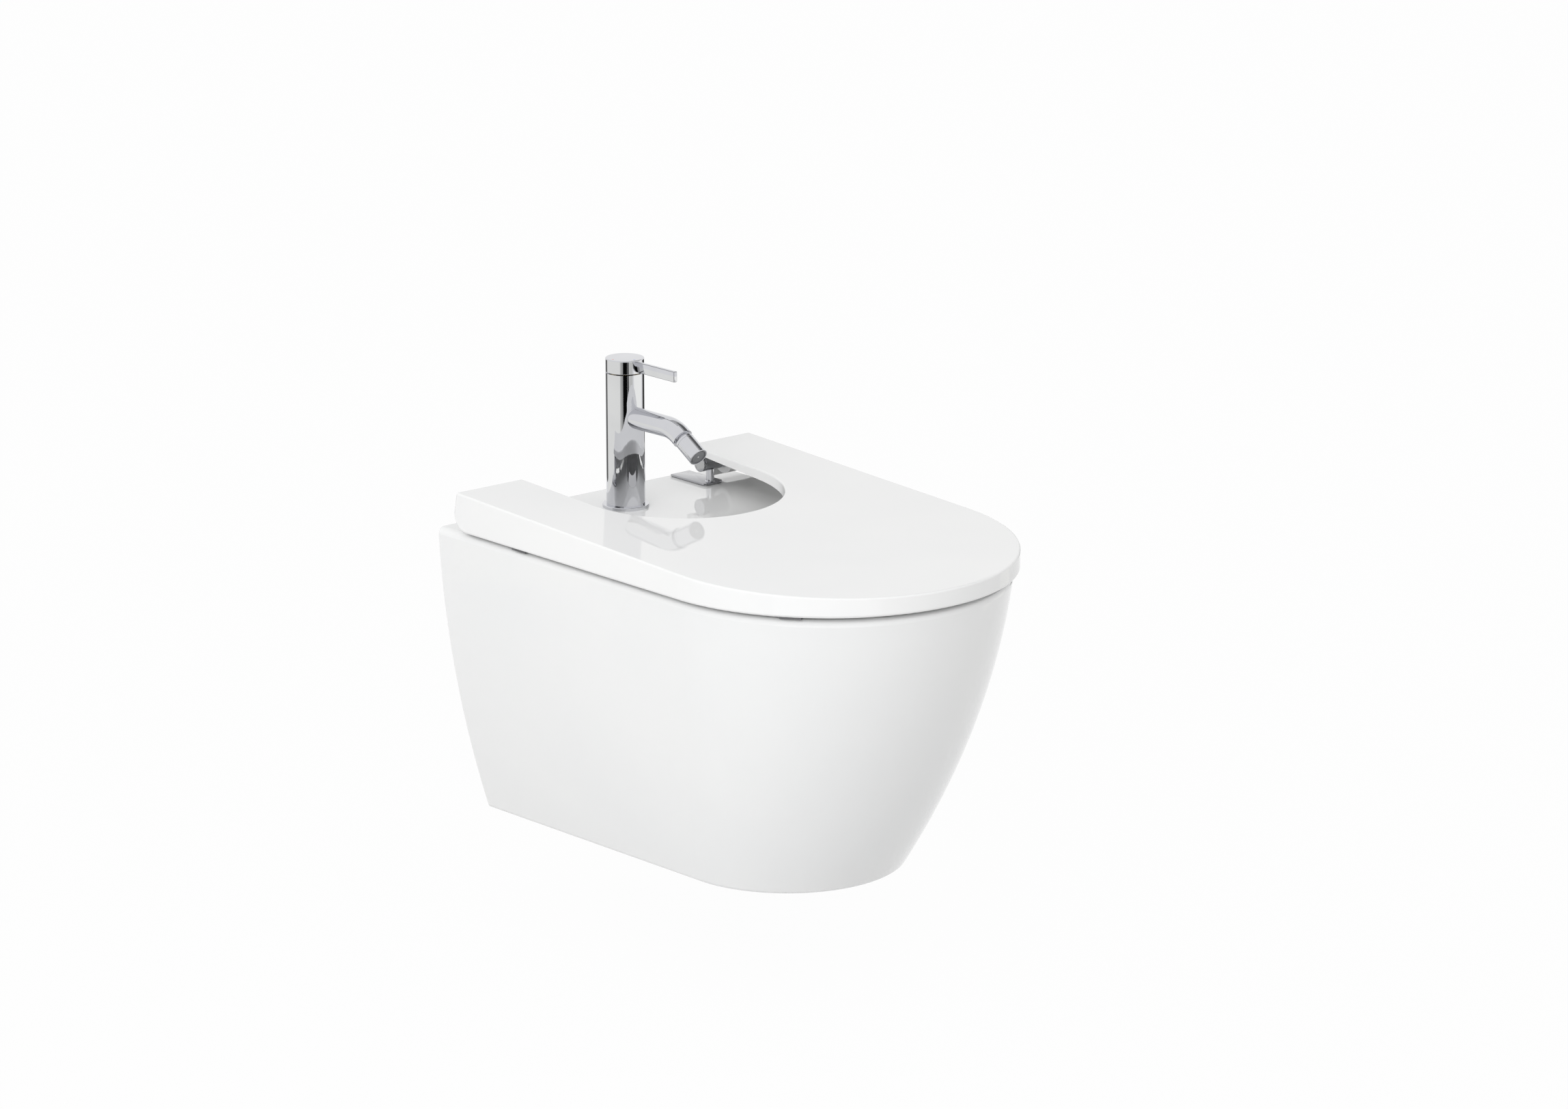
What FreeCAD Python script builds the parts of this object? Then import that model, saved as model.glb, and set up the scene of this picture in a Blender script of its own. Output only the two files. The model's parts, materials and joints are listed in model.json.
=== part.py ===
import FreeCAD, Part
import math
import os
import re

import Sketcher
from FreeCAD import Placement, Rotation, Vector

# Wall-hung bidet with a lid on soft-close hinges, a single-hole tap and a push-to-open waste.
# The wall is the plane Y = 0, the front points along -Y and +Z is up.
# The origin is midway between the two wall studs, so the flat deck and rim lie above it.

# Driving dimensions, in millimetres and degrees
SIZES = {
    # ceramic body
    "rim_above_bolts": 90,
    "body_height": 296,
    "body_half_width": 180,
    "side_lean": 12,
    "side_curve": 44,
    "body_depth": 530,
    "front_lean": 40,
    "front_curve": 77,
    "nose_radius": 174,
    "nose_lean": 20,
    "nose_curve": 41,
    "rim_round": 6.5,
    "deck_rise": 2.5,
    "deck_half_width": 132,
    "foot_round": 6,
    "ceramic_wall": 11,
    "deck_thickness": 18,
    "rear_wall": 20,
    "bowl_radius": 138,
    "bowl_straight": 19,
    "front_rim": 45,
    "bowl_depth": 122,
    "bowl_floor_radius": 42,
    "bowl_floor_straight": 3,
    "bowl_edge_round": 6,
    "window_half_width": 70,
    "window_below_bolts": 40,
    "window_height": 110,
    "access_half_width": 60,
    "access_from_wall": 45,
    "access_length": 300,
    # wall fixing
    "bolt_spacing": 180,
    "stud_bore": 6.3,
    "bush_radius": 9.9,
    "bush_clearance": 0.1,
    "bush_flange_radius": 14,
    "bush_flange": 2,
    "bush_setback": 0.5,
    "wall_washer_radius": 15,
    "wall_washer": 2,
    "wall_nut_corner": 11,
    "wall_nut": 10,
    # lid
    "lid_gap": 2.7,
    "lid_overhang": 5,
    "lid_side_overhang": 3,
    "lid_nose_excess": 5.5,
    "lid_rear_height": 38,
    "lid_front_height": 17.5,
    "lid_rear_reach": 25.6,
    "lid_rear_lean": 8.1,
    "lid_rear_round": 16.5,
    "lid_foot_round": 3,
    "lid_wall": 3.5,
    "lid_edge_round": 1.8,
    "arm_width": 80,
    "lid_front_width": 291.5,
    "lip_rear_depth": 3.5,
    "lip_front_depth": 15,
    "lip_overcut": 0.01,
    "overcut": 10,
    "buffer_length": 20,
    "buffer_width": 10,
    "buffer_setback": 4.5,
    "buffer_clearance": 0.3,
    "buffer_peg_radius": 2.5,
    "buffer_peg": 6,
    "buffer_rear_from_wall": 122,
    "buffer_front_angle": 52,
    # hinges
    "hinge_from_wall": 50,
    "hinge_height": 22,
    "post_from_cap": 10.9,
    "plate_half_width": 12,
    "plate_from_wall": 4,
    "plate": 2,
    "plate_gasket": 0.6,
    "post_radius": 4,
    "barrel_radius": 8,
    "barrel_wall": 1.5,
    "barrel_length": 26,
    "barrel_clearance": 0.6,
    "end_cap": 3,
    "end_cap_groove": 0.6,
    "end_cap_plug": 2,
    "damper_clearance": 0.05,
    "pin_radius": 4,
    "pin_clearance": 0.05,
    "pin_in_damper": 19,
    "pin_in_knuckle": 25,
    "knuckle_gap": 1.5,
    "knuckle_radius": 14,
    "hinge_stud_radius": 4,
    "hinge_stud_length": 46,
    "hinge_stud_from_wall": 34,
    "hinge_hole_radius": 6.5,
    "hinge_hole_clearance": 0.1,
    "hinge_nut_flange_radius": 11.5,
    "hinge_nut_flange": 3,
    "hinge_nut_hub_radius": 8,
    "hinge_nut_hub": 12,
    # tap
    "tap_from_wall": 63,
    "tap_hole_radius": 17.5,
    "tap_spigot_clearance": 1,
    "tap_spigot": 7,
    "column_radius": 18.85,
    "column_top": 133.2,
    "base_ring_radius": 22.7,
    "base_ring": 3,
    "base_ring_edge": 0.8,
    "base_seal": 1.2,
    "base_seal_inner": 18.2,
    "base_seal_outer": 21,
    "spout_height": 90.4,
    "spout_radius": 10.4,
    "spout_bore": 6.8,
    "spout_straight": 63.5,
    "spout_bend_radius": 38,
    "spout_drop": 31,
    "spout_stub": 4,
    "outlet_radius": 4.6,
    "outlet_floor": 82,
    "inlet_side": 8,
    "inlet_behind": 4,
    "inlet_port_radius": 4.5,
    "inlet_port_depth": 12,
    "inlet_bore": 2.8,
    "tap_stud_radius": 4,
    "tap_stud_ahead": 9,
    "tap_stud_in_body": 18,
    "tap_stud_length": 78,
    "tap_gasket": 3,
    "tap_washer": 2.5,
    "tap_washer_radius": 24,
    "tap_washer_slot": 14,
    "tap_washer_web": 2,
    "tap_nut_corner": 7.6,
    "tap_nut": 10,
    # cartridge and lever
    "chamber_floor": 104,
    "chamber_radius": 15,
    "cartridge_clearance": 0.2,
    "cartridge_height": 23,
    "cartridge_floor": 3,
    "cartridge_wall": 2,
    "cartridge_seal": 1,
    "cartridge_seal_width": 1.2,
    "disc": 4,
    "disc_clearance": 0.2,
    "disc_gap": 0.05,
    "carrier": 4,
    "carrier_setback": 0.8,
    "stem_radius": 5,
    "stem_clearance": 0.05,
    "stem_in_cap": 7,
    "cartridge_nut": 4,
    "cartridge_nut_bore": 8,
    "cap_gap": 1,
    "cap_height": 13.2,
    "cap_edge": 0.8,
    "lever_thickness": 4,
    "lever_height": 10.2,
    "lever_reach": 79.5,
    "lever_root": 11,
    "lever_below_top": 1,
    "lever_edge": 0.5,
    "grub_radius": 2,
    "grub_length": 8,
    "dot_radius": 1.1,
    "dot_depth": 0.5,
    "dot_from_axis": 14.7,
    # nozzle
    "ball_radius": 8,
    "ball_clearance": 0.05,
    "ball_stand": 3,
    "ball_bore": 4.5,
    "nozzle_radius": 9.5,
    "nozzle_start": 0.2,
    "nozzle_length": 24.4,
    "nozzle_edge": 0.8,
    "nozzle_bore": 5.5,
    "aerator_radius": 8.2,
    "aerator_clearance": 0.05,
    "aerator_length": 9,
    "aerator_setback": 0.6,
    "aerator_seal": 1.2,
    "aerator_teeth": 1.2,
    "aerator_notch": 1.6,
    "aerator_face_radius": 5.6,
    "aerator_hole": 0.7,
    "aerator_hole_circle": 3.5,
    # waste
    "drain_behind_bowl": 32,
    "drain_bore": 22.5,
    "drain_boss_radius": 36,
    "drain_boss": 28,
    "drain_recess_radius": 33,
    "drain_recess": 4,
    "waste_seal": 2,
    "waste_seal_inner": 23,
    "waste_seal_outer": 31.5,
    "waste_flange_radius": 32,
    "waste_flange": 2.5,
    "waste_body_radius": 21.6,
    "waste_thread_radius": 20.95,
    "waste_thread_length": 24,
    "thread_relief_radius": 20.4,
    "thread_relief": 2,
    "waste_bore": 18,
    "waste_length": 78,
    "spider_depth": 26,
    "spider": 4,
    "spider_hole": 4,
    "spider_hole_circle": 11.8,
    "click_radius": 5,
    "click_clearance": 0.05,
    "click_flange_radius": 7,
    "click_flange": 3,
    "click_length": 30,
    "click_floor": 3,
    "rod_radius": 3,
    "rod_in_click": 20,
    "rod_clearance": 0.05,
    "plug_radius": 30,
    "plug_edge": 3,
    "plug_crown": 3,
    "plug_seal": 2,
    "plug_seal_inner": 19,
    "plug_seal_outer": 26,
    "plug_gap": 0.3,
    "back_seal": 3,
    "back_seal_outer": 33,
    "back_seal_clearance": 0.15,
    "back_nut": 12,
    "back_nut_corner": 33,
}

# Sizes that follow from others
DERIVED = {
    "bowl_from_wall": "(body_depth - front_rim - bowl_straight - bowl_radius)",
    "drain_from_wall": "(bowl_from_wall - drain_behind_bowl)",
    "lid_depth": "(body_depth + lid_overhang)",
    "lid_rear_half_width": "(body_half_width + lid_side_overhang)",
    "lid_nose_radius": "(nose_radius + lid_nose_excess)",
    "cutout_half_width": "(lid_rear_half_width - arm_width)",
    "cutout_depth": "(lid_depth - lid_front_width)",
    "hinge_half_spacing": "(cutout_half_width + barrel_clearance + end_cap + post_from_cap)",
}

doc = FreeCAD.newDocument("wall_hung_bidet")
sheet = doc.addObject("Spreadsheet::Sheet", "dims")
for row, (alias, value) in enumerate(SIZES.items(), start=1):
    sheet.set("A%d" % row, alias)
    sheet.set("B%d" % row, str(value))
    sheet.setAlias("B%d" % row, alias)
probe = doc.addObject("App::FeaturePython", "probe")
probe.addProperty("App::PropertyFloat", "Value")
doc.recompute()

ALONG_X = Rotation(Vector(0, 1, 0), 90)
ALONG_MINUS_X = Rotation(Vector(0, 1, 0), -90)
ALONG_MINUS_Y = Rotation(Vector(1, 0, 0), 90)
ALONG_PLUS_Y = Rotation(Vector(1, 0, 0), -90)
WORD = re.compile(r"[a-z][a-z_]*")
SIDES = (("left", -1), ("right", 1))

# Heights closer than this are the same, and a rounded edge may reach this far past its outline
TOUCH = 0.01
EDGE_MARGIN = 1

# Levels of the casting's sections and of the bowl's, as shares of their depth below the rim
CASTING_SHARES = (0, 0.25, 0.5, 0.75, 1)
BOWL_SHARES = (0, 0.4, 0.7, 0.9, 1)

# Repeats round a circle
AERATOR_NOTCHES = 8
AERATOR_HOLES = 10
SPIDER_HOLES = 6

# Heights and places that several pieces share
RIM = "rim_above_bolts"
FOOT = "rim_above_bolts - body_height"
UNDER_DECK = "rim_above_bolts - deck_thickness"
LOW_RIM = "rim_above_bolts - deck_rise"
LID_BASE = "rim_above_bolts - deck_rise + lid_gap"
LID_REAR = "hinge_from_wall - lid_rear_reach"
LID_REAR_TOP = "(hinge_from_wall - lid_rear_reach + lid_rear_lean)"
LID_SLOPE = "((lid_rear_height - lid_front_height) / (lid_depth - %s))" % LID_REAR_TOP
HINGE_Z = "rim_above_bolts + hinge_height"
BARREL_START = "(cutout_half_width + barrel_clearance)"
KNUCKLE_START = "(%s + end_cap + barrel_length + knuckle_gap)" % BARREL_START
BOWL_FLOOR = "rim_above_bolts - bowl_depth"
DRAIN_SEAT = "rim_above_bolts - bowl_depth - drain_recess"
BOSS_UNDERSIDE = "rim_above_bolts - bowl_depth - ceramic_wall - drain_boss"
FLANGE_UNDERSIDE = "(%s + waste_seal)" % DRAIN_SEAT
FLANGE_TOP = "(%s + waste_flange)" % FLANGE_UNDERSIDE
SPIDER_TOP = "(%s - spider_depth)" % FLANGE_UNDERSIDE
CAP_BASE = "(column_top + cap_gap)"
BALL_Y = ("(tap_from_wall + spout_straight + spout_bend_radius * sin(spout_drop)"
          " + (spout_stub + ball_stand) * cos(spout_drop))")
BALL_Z = ("rim_above_bolts + spout_height - spout_bend_radius * (1 - cos(spout_drop))"
          " - (spout_stub + ball_stand) * sin(spout_drop)")

nodes = []


def size(alias):
    return float(SIZES[alias])


def bound(text):
    """Expression text with derived sizes written out and the sheet's name before each alias."""
    def in_sheet(word):
        name = word.group()
        if name in DERIVED:
            return bound(DERIVED[name])
        return "dims." + name if name in SIZES else name

    return WORD.sub(in_sheet, text)


def number(text):
    """Present value of an expression, for a sketch's first geometry."""
    probe.setExpression("Value", bound(text))
    probe.recompute()
    return probe.Value


def place(piece, x="0", y="0", z="0", rotation=None):
    piece.Placement = Placement(Vector(), rotation or Rotation())
    for axis, text in zip("xyz", (x, y, z)):
        if text != "0":
            piece.setExpression("Placement.Base." + axis, bound(text))


def node(piece, label):
    piece.Label = label
    nodes.append(piece)
    return piece


def new_body(name):
    return doc.addObject("PartDesign::Body", name)


# Sketches

def new_sketch(body, name, plane, shift="0"):
    sketch = body.newObject("Sketcher::SketchObject", name)
    support = [feature for feature in body.Origin.OriginFeatures if feature.Role == plane][0]
    sketch.AttachmentSupport = [(support, "")]
    sketch.MapMode = "FlatFace"
    if shift != "0":
        sketch.setExpression("AttachmentOffset.Base.z", bound(shift))
    return sketch


def fix(sketch, text, kind, *where):
    index = sketch.addConstraint(Sketcher.Constraint(kind, *where, number(text)))
    sketch.setExpression("Constraints[%d]" % index, bound(text))


def pin_point(sketch, geometry, end, x, y):
    for kind, axis, text in (("DistanceX", -2, x), ("DistanceY", -1, y)):
        if text == "0":
            sketch.addConstraint(Sketcher.Constraint("PointOnObject", geometry, end, axis))
        else:
            fix(sketch, text, kind, -1, 1, geometry, end)


def add_polygon(sketch, points):
    corners = [Vector(number(x), number(y), 0) for x, y in points]
    first = sketch.GeometryCount
    count = len(points)
    for i in range(count):
        sketch.addGeometry(Part.LineSegment(corners[i], corners[(i + 1) % count]), False)
    for i in range(count):
        sketch.addConstraint(Sketcher.Constraint("Coincident", first + i, 2, first + (i + 1) % count, 1))
        pin_point(sketch, first + i, 1, *points[i])


def add_rectangle(sketch, x_low, x_high, y_low, y_high):
    add_polygon(sketch, [(x_low, y_low), (x_high, y_low), (x_high, y_high), (x_low, y_high)])


def add_circle(sketch, x, y, radius):
    centre = Vector(number(x), number(y), 0)
    circle = sketch.addGeometry(Part.Circle(centre, Vector(0, 0, 1), number(radius)), False)
    pin_point(sketch, circle, 3, x, y)
    fix(sketch, radius, "Radius", circle)


def add_outline(sketch, half_width, rear, depth, nose):
    """Straight rear edge, two flanks and a tangent nose arc, seen from above with the front at -Y."""
    w, r, back = number(half_width), number(nose), -number(rear)
    centre_y = -(number(depth) - number(nose))
    reach = math.hypot(w, back - centre_y)
    turn = math.asin(r / reach)
    heading = math.atan2(centre_y - back, -w) + turn
    run = math.sqrt(reach * reach - r * r)
    tangent = Vector(w + run * math.cos(heading), back + run * math.sin(heading), 0)
    mirrored = Vector(-tangent.x, tangent.y, 0)
    start = math.atan2(mirrored.y - centre_y, mirrored.x)
    end = math.atan2(tangent.y - centre_y, tangent.x)
    circle = Part.Circle(Vector(0, centre_y, 0), Vector(0, 0, 1), r)
    rear_edge = sketch.addGeometry(Part.LineSegment(Vector(-w, back, 0), Vector(w, back, 0)), False)
    right = sketch.addGeometry(Part.LineSegment(Vector(w, back, 0), tangent), False)
    arc = sketch.addGeometry(Part.ArcOfCircle(circle, start % math.tau, end % math.tau + math.tau), False)
    left = sketch.addGeometry(Part.LineSegment(mirrored, Vector(-w, back, 0)), False)
    for kind, first, first_end, second, second_end in (
            ("Coincident", rear_edge, 2, right, 1), ("Tangent", right, 2, arc, 2),
            ("Tangent", arc, 1, left, 1), ("Coincident", left, 2, rear_edge, 1)):
        sketch.addConstraint(Sketcher.Constraint(kind, first, first_end, second, second_end))
    rear_y = "0" if rear == "0" else "-(%s)" % rear
    pin_point(sketch, rear_edge, 1, "-(%s)" % half_width, rear_y)
    pin_point(sketch, rear_edge, 2, half_width, rear_y)
    pin_point(sketch, arc, 3, "0", "-((%s) - (%s))" % (depth, nose))
    fix(sketch, nose, "Radius", arc)


def add_slot(sketch, centre, straight, radius):
    """Oval of two half circles and two straight sides, long along Y."""
    r, front, back = number(radius), -number(centre) - number(straight), -number(centre) + number(straight)
    up = Vector(0, 0, 1)
    rear_arc = sketch.addGeometry(Part.ArcOfCircle(Part.Circle(Vector(0, back, 0), up, r), 0, math.pi), False)
    left = sketch.addGeometry(Part.LineSegment(Vector(-r, back, 0), Vector(-r, front, 0)), False)
    front_circle = Part.Circle(Vector(0, front, 0), up, r)
    front_arc = sketch.addGeometry(Part.ArcOfCircle(front_circle, math.pi, math.tau), False)
    right = sketch.addGeometry(Part.LineSegment(Vector(r, front, 0), Vector(r, back, 0)), False)
    chain = (rear_arc, left, front_arc, right)
    rear_y = "-(%s) + (%s)" % (centre, straight)
    front_y = "-(%s) - (%s)" % (centre, straight)
    starts = ((radius, rear_y), ("-(%s)" % radius, rear_y), ("-(%s)" % radius, front_y), (radius, front_y))
    for i, geometry in enumerate(chain):
        sketch.addConstraint(Sketcher.Constraint("Coincident", geometry, 2, chain[(i + 1) % 4], 1))
        pin_point(sketch, geometry, 1, *starts[i])
    fix(sketch, rear_y, "DistanceY", -1, 1, rear_arc, 3)
    fix(sketch, front_y, "DistanceY", -1, 1, front_arc, 3)


# Features

def pad(body, name, sketch, length, reverse=False, kind="Pad"):
    feature = body.newObject("PartDesign::" + kind, name)
    feature.Profile = sketch
    feature.Reversed = reverse
    feature.setExpression("Length", bound(length))
    return feature


def pocket(body, name, sketch, length, reverse=False):
    return pad(body, name, sketch, length, reverse, "Pocket")


def pocket_both_ways(body, name, sketch, half_length):
    feature = pad(body, name, sketch, "2 * (%s)" % half_length, False, "Pocket")
    feature.SideType = "Symmetric"
    return feature


def loft(body, kind, name, sketches):
    feature = body.newObject("PartDesign::" + kind, name)
    feature.Profile = sketches[0]
    feature.Sections = [(sketch, "") for sketch in sketches[1:]]
    return feature


def round_edges(body, name, radius, wanted):
    """Fillet on the edges of the body's present shape that pass the test."""
    doc.recompute()
    base = body.Tip
    names = ["Edge%d" % (i + 1) for i, edge in enumerate(base.Shape.Edges) if wanted(edge)]
    feature = body.newObject("PartDesign::Fillet", name)
    feature.Base = (base, names)
    feature.setExpression("Radius", bound(radius))
    return feature


def at_height(edge, height):
    box = edge.BoundBox
    return abs(box.ZMin - height) < TOUCH and abs(box.ZMax - height) < TOUCH


def revolve(body, name, sketch):
    feature = body.newObject("PartDesign::Revolution", name)
    feature.Profile = sketch
    feature.ReferenceAxis = (sketch, ["V_Axis"])
    feature.Angle = 360


def repeat_round(body, name, feature, count):
    pattern = body.newObject("PartDesign::PolarPattern", name)
    pattern.Originals = [feature]
    pattern.Axis = ([part for part in body.Origin.OriginFeatures if part.Role == "Z_Axis"][0], [""])
    pattern.Angle = 360
    pattern.Occurrences = count
    body.Tip = pattern


def turned(name, profile, x="0", y="0", z="0", rotation=None):
    """Body of revolution: profile points are radius and height along its own axis."""
    body = new_body(name)
    sketch = new_sketch(body, name + "_profile", "XZ_Plane")
    add_polygon(sketch, profile)
    revolve(body, name + "_turn", sketch)
    place(body, x, y, z, rotation)
    return body


def ring(inner, outer, low, high):
    return [(inner, low), (outer, low), (outer, high), (inner, high)]


def rod(radius, low, high):
    return ring("0", radius, low, high)


def cylinder(name, radius, height, x="0", y="0", z="0", rotation=None):
    piece = doc.addObject("Part::Cylinder", name)
    piece.setExpression("Radius", bound(radius))
    piece.setExpression("Height", bound(height))
    place(piece, x, y, z, rotation)
    return piece


def box(name, length, width, height, x="0", y="0", z="0", rotation=None):
    piece = doc.addObject("Part::Box", name)
    for prop, text in (("Length", length), ("Width", width), ("Height", height)):
        piece.setExpression(prop, bound(text))
    place(piece, x, y, z, rotation)
    return piece


def cut(name, base, tool):
    piece = doc.addObject("Part::Cut", name)
    piece.Base = base
    piece.Tool = tool
    return piece


def fuse(name, pieces):
    piece = doc.addObject("Part::MultiFuse", name)
    piece.Shapes = pieces
    return piece


def group(name, pieces):
    piece = doc.addObject("Part::Compound", name)
    piece.Links = pieces
    return piece


def hex_nut(name, corner, height, bore, x="0", y="0", z="0", rotation=None):
    blank = doc.addObject("Part::Prism", name + "_blank")
    blank.Polygon = 6
    blank.setExpression("Circumradius", bound(corner))
    blank.setExpression("Height", bound(height))
    place(blank, x, y, z, rotation)
    return cut(name, blank, cylinder(name + "_bore", bore, height, x, y, z, rotation))


# Ceramic body

def body_section(share, inset="0"):
    """Half width, depth and nose radius of the casting at a share of its height below the rim."""
    half_width = "(body_half_width - side_lean * (%s) - side_curve * (%s)^2 - %s)" % (share, share, inset)
    depth = "(body_depth - front_lean * (%s) - front_curve * (%s)^2 - %s)" % (share, share, inset)
    nose = "(nose_radius - nose_lean * (%s) - nose_curve * (%s)^2 - %s)" % (share, share, inset)
    return half_width, depth, nose


def bowl_section(spread, extra):
    """Centre, half straight and radius of the bowl where it keeps a share of its spread."""
    centre = "(drain_from_wall + (bowl_from_wall - drain_from_wall) * %s)" % spread
    straight = "(bowl_floor_straight + (bowl_straight - bowl_floor_straight) * %s)" % spread
    radius = "(bowl_floor_radius + (bowl_radius - bowl_floor_radius) * %s + %s)" % (spread, extra)
    return centre, straight, radius


def build_ceramic():
    body = new_body("ceramic_body")
    sections = []
    for i, share in enumerate(CASTING_SHARES):
        half_width, depth, nose = body_section(share)
        sketch = new_sketch(body, "outer_section_%d" % i, "XY_Plane", "%s - body_height * %s" % (RIM, share))
        add_outline(sketch, half_width, "-overcut", depth, nose)
        sections.append(sketch)
    loft(body, "AdditiveLoft", "outer_form", sections)

    # The rear is cut off flat on the wall's plane
    sketch = new_sketch(body, "wall_plane_outline", "XZ_Plane")
    add_rectangle(sketch, "-body_half_width - overcut", "body_half_width + overcut",
                  "%s - overcut" % FOOT, "%s + overcut" % RIM)
    pocket(body, "wall_plane_cut", sketch, "2 * overcut")

    def on_outer_edge(edge, height):
        return at_height(edge, height) and edge.BoundBox.YMin < -TOUCH

    round_edges(body, "foot_rounding", "foot_round", lambda edge: on_outer_edge(edge, number(FOOT)))

    sections = []
    for i, level in enumerate(CASTING_SHARES):
        inner_height = "(body_height - deck_thickness - ceramic_wall)"
        share = "((deck_thickness + %s * %s) / body_height)" % (inner_height, level)
        half_width, depth, nose = body_section(share, "ceramic_wall")
        sketch = new_sketch(body, "inner_section_%d" % i, "XY_Plane", "%s - body_height * %s" % (RIM, share))
        add_outline(sketch, half_width, "rear_wall", depth, nose)
        sections.append(sketch)
    loft(body, "SubtractiveLoft", "hollow", sections)

    for kind, name, extra, drop in (("AdditiveLoft", "bowl_shell", "ceramic_wall", "ceramic_wall"),
                                    ("SubtractiveLoft", "bowl", "0", "0")):
        sections = []
        for i, share in enumerate(BOWL_SHARES):
            spread = str(round(math.sqrt(1 - share * share), 4))
            height = "%s - bowl_depth * %s - %s" % (RIM, share, drop)
            sketch = new_sketch(body, "%s_section_%d" % (name, i), "XY_Plane", height)
            add_slot(sketch, *bowl_section(spread, extra))
            sections.append(sketch)
        loft(body, kind, name, sections)
        if kind == "AdditiveLoft":
            sketch = new_sketch(body, "drain_boss_circle", "XY_Plane", BOSS_UNDERSIDE)
            add_circle(sketch, "0", "-drain_from_wall", "drain_boss_radius")
            pad(body, "drain_boss", sketch, "drain_boss + ceramic_wall / 2")

    def on_bowl_edge(edge):
        rear = -number("bowl_from_wall - bowl_straight - bowl_radius") + EDGE_MARGIN
        inside = abs(edge.BoundBox.XMax) < size("bowl_radius") + EDGE_MARGIN and edge.BoundBox.YMax < rear
        return inside and at_height(edge, number(RIM))

    round_edges(body, "bowl_edge", "bowl_edge_round", on_bowl_edge)

    # The deck under the tap and hinges stands above the rest of the rim
    sketch = new_sketch(body, "low_rim_outline", "XY_Plane", RIM)
    outer_x, outer_y = "(body_half_width + overcut)", "-(body_depth + overcut)"
    add_polygon(sketch, [("-deck_half_width", "overcut"), ("-deck_half_width", "-bowl_from_wall"),
                         ("deck_half_width", "-bowl_from_wall"), ("deck_half_width", "overcut"),
                         (outer_x, "overcut"), (outer_x, outer_y), ("-" + outer_x, outer_y),
                         ("-" + outer_x, "overcut")])
    pocket(body, "low_rim", sketch, "deck_rise")
    beyond_bowl = number("bowl_radius + bowl_edge_round") + EDGE_MARGIN

    def on_low_rim(edge):
        outside = max(edge.BoundBox.XMax, -edge.BoundBox.XMin) > beyond_bowl
        return outside and on_outer_edge(edge, number(LOW_RIM))

    round_edges(body, "rim_rounding", "rim_round", on_low_rim)

    sketch = new_sketch(body, "drain_recess_circle", "XY_Plane", BOWL_FLOOR)
    add_circle(sketch, "0", "-drain_from_wall", "drain_recess_radius")
    pocket(body, "drain_recess", sketch, "drain_recess")
    sketch = new_sketch(body, "drain_circle", "XY_Plane", BOWL_FLOOR)
    add_circle(sketch, "0", "-drain_from_wall", "drain_bore")
    pocket(body, "drain", sketch, "ceramic_wall + drain_boss + overcut")

    sketch = new_sketch(body, "deck_hole_circles", "XY_Plane", RIM)
    add_circle(sketch, "0", "-tap_from_wall", "tap_hole_radius")
    for _, sign in SIDES:
        add_circle(sketch, "%d * hinge_half_spacing" % sign, "-hinge_stud_from_wall", "hinge_hole_radius")
    pocket(body, "deck_holes", sketch, "deck_thickness + overcut")

    sketch = new_sketch(body, "rear_wall_openings", "XZ_Plane")
    for _, sign in SIDES:
        add_circle(sketch, "%d * bolt_spacing / 2" % sign, "0", "bush_radius + bush_clearance")
    add_rectangle(sketch, "-window_half_width", "window_half_width",
                  "-window_below_bolts - window_height", "-window_below_bolts")
    pocket(body, "rear_openings", sketch, "rear_wall + overcut", reverse=True)

    sketch = new_sketch(body, "access_outline", "XY_Plane", FOOT)
    add_rectangle(sketch, "-access_half_width", "access_half_width",
                  "-access_from_wall - access_length", "-access_from_wall")
    pocket(body, "access_opening", sketch, "ceramic_wall + overcut", reverse=True)
    node(body, "ceramic_body")


def build_wall_fixing():
    bush = [("stud_bore", "bush_setback"), ("bush_radius", "bush_setback"), ("bush_radius", "rear_wall"),
            ("bush_flange_radius", "rear_wall"), ("bush_flange_radius", "rear_wall + bush_flange"),
            ("stud_bore", "rear_wall + bush_flange")]
    washer = ring("stud_bore", "wall_washer_radius", "rear_wall + bush_flange",
                  "rear_wall + bush_flange + wall_washer")
    bushes, washers, nuts = [], [], []
    for side, sign in SIDES:
        x = "%d * bolt_spacing / 2" % sign
        bushes.append(turned("wall_bush_" + side, bush, x, rotation=ALONG_MINUS_Y))
        washers.append(turned("wall_washer_" + side, washer, x, rotation=ALONG_MINUS_Y))
        nuts.append(hex_nut("wall_nut_" + side, "wall_nut_corner", "wall_nut", "stud_bore", x,
                            "-(rear_wall + bush_flange + wall_washer)", rotation=ALONG_MINUS_Y))
    node(group("bush_pair", bushes), "wall_fixing_bushes")
    node(group("wall_washer_pair", washers), "wall_fixing_washers")
    node(group("wall_nut_pair", nuts), "wall_fixing_nuts")


# Lid

def lid_top(from_wall):
    """Height of the lid's sloping top at a distance from the wall."""
    return "(%s + lid_rear_height - %s * (%s - %s))" % (LID_BASE, LID_SLOPE, from_wall, LID_REAR_TOP)


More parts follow.
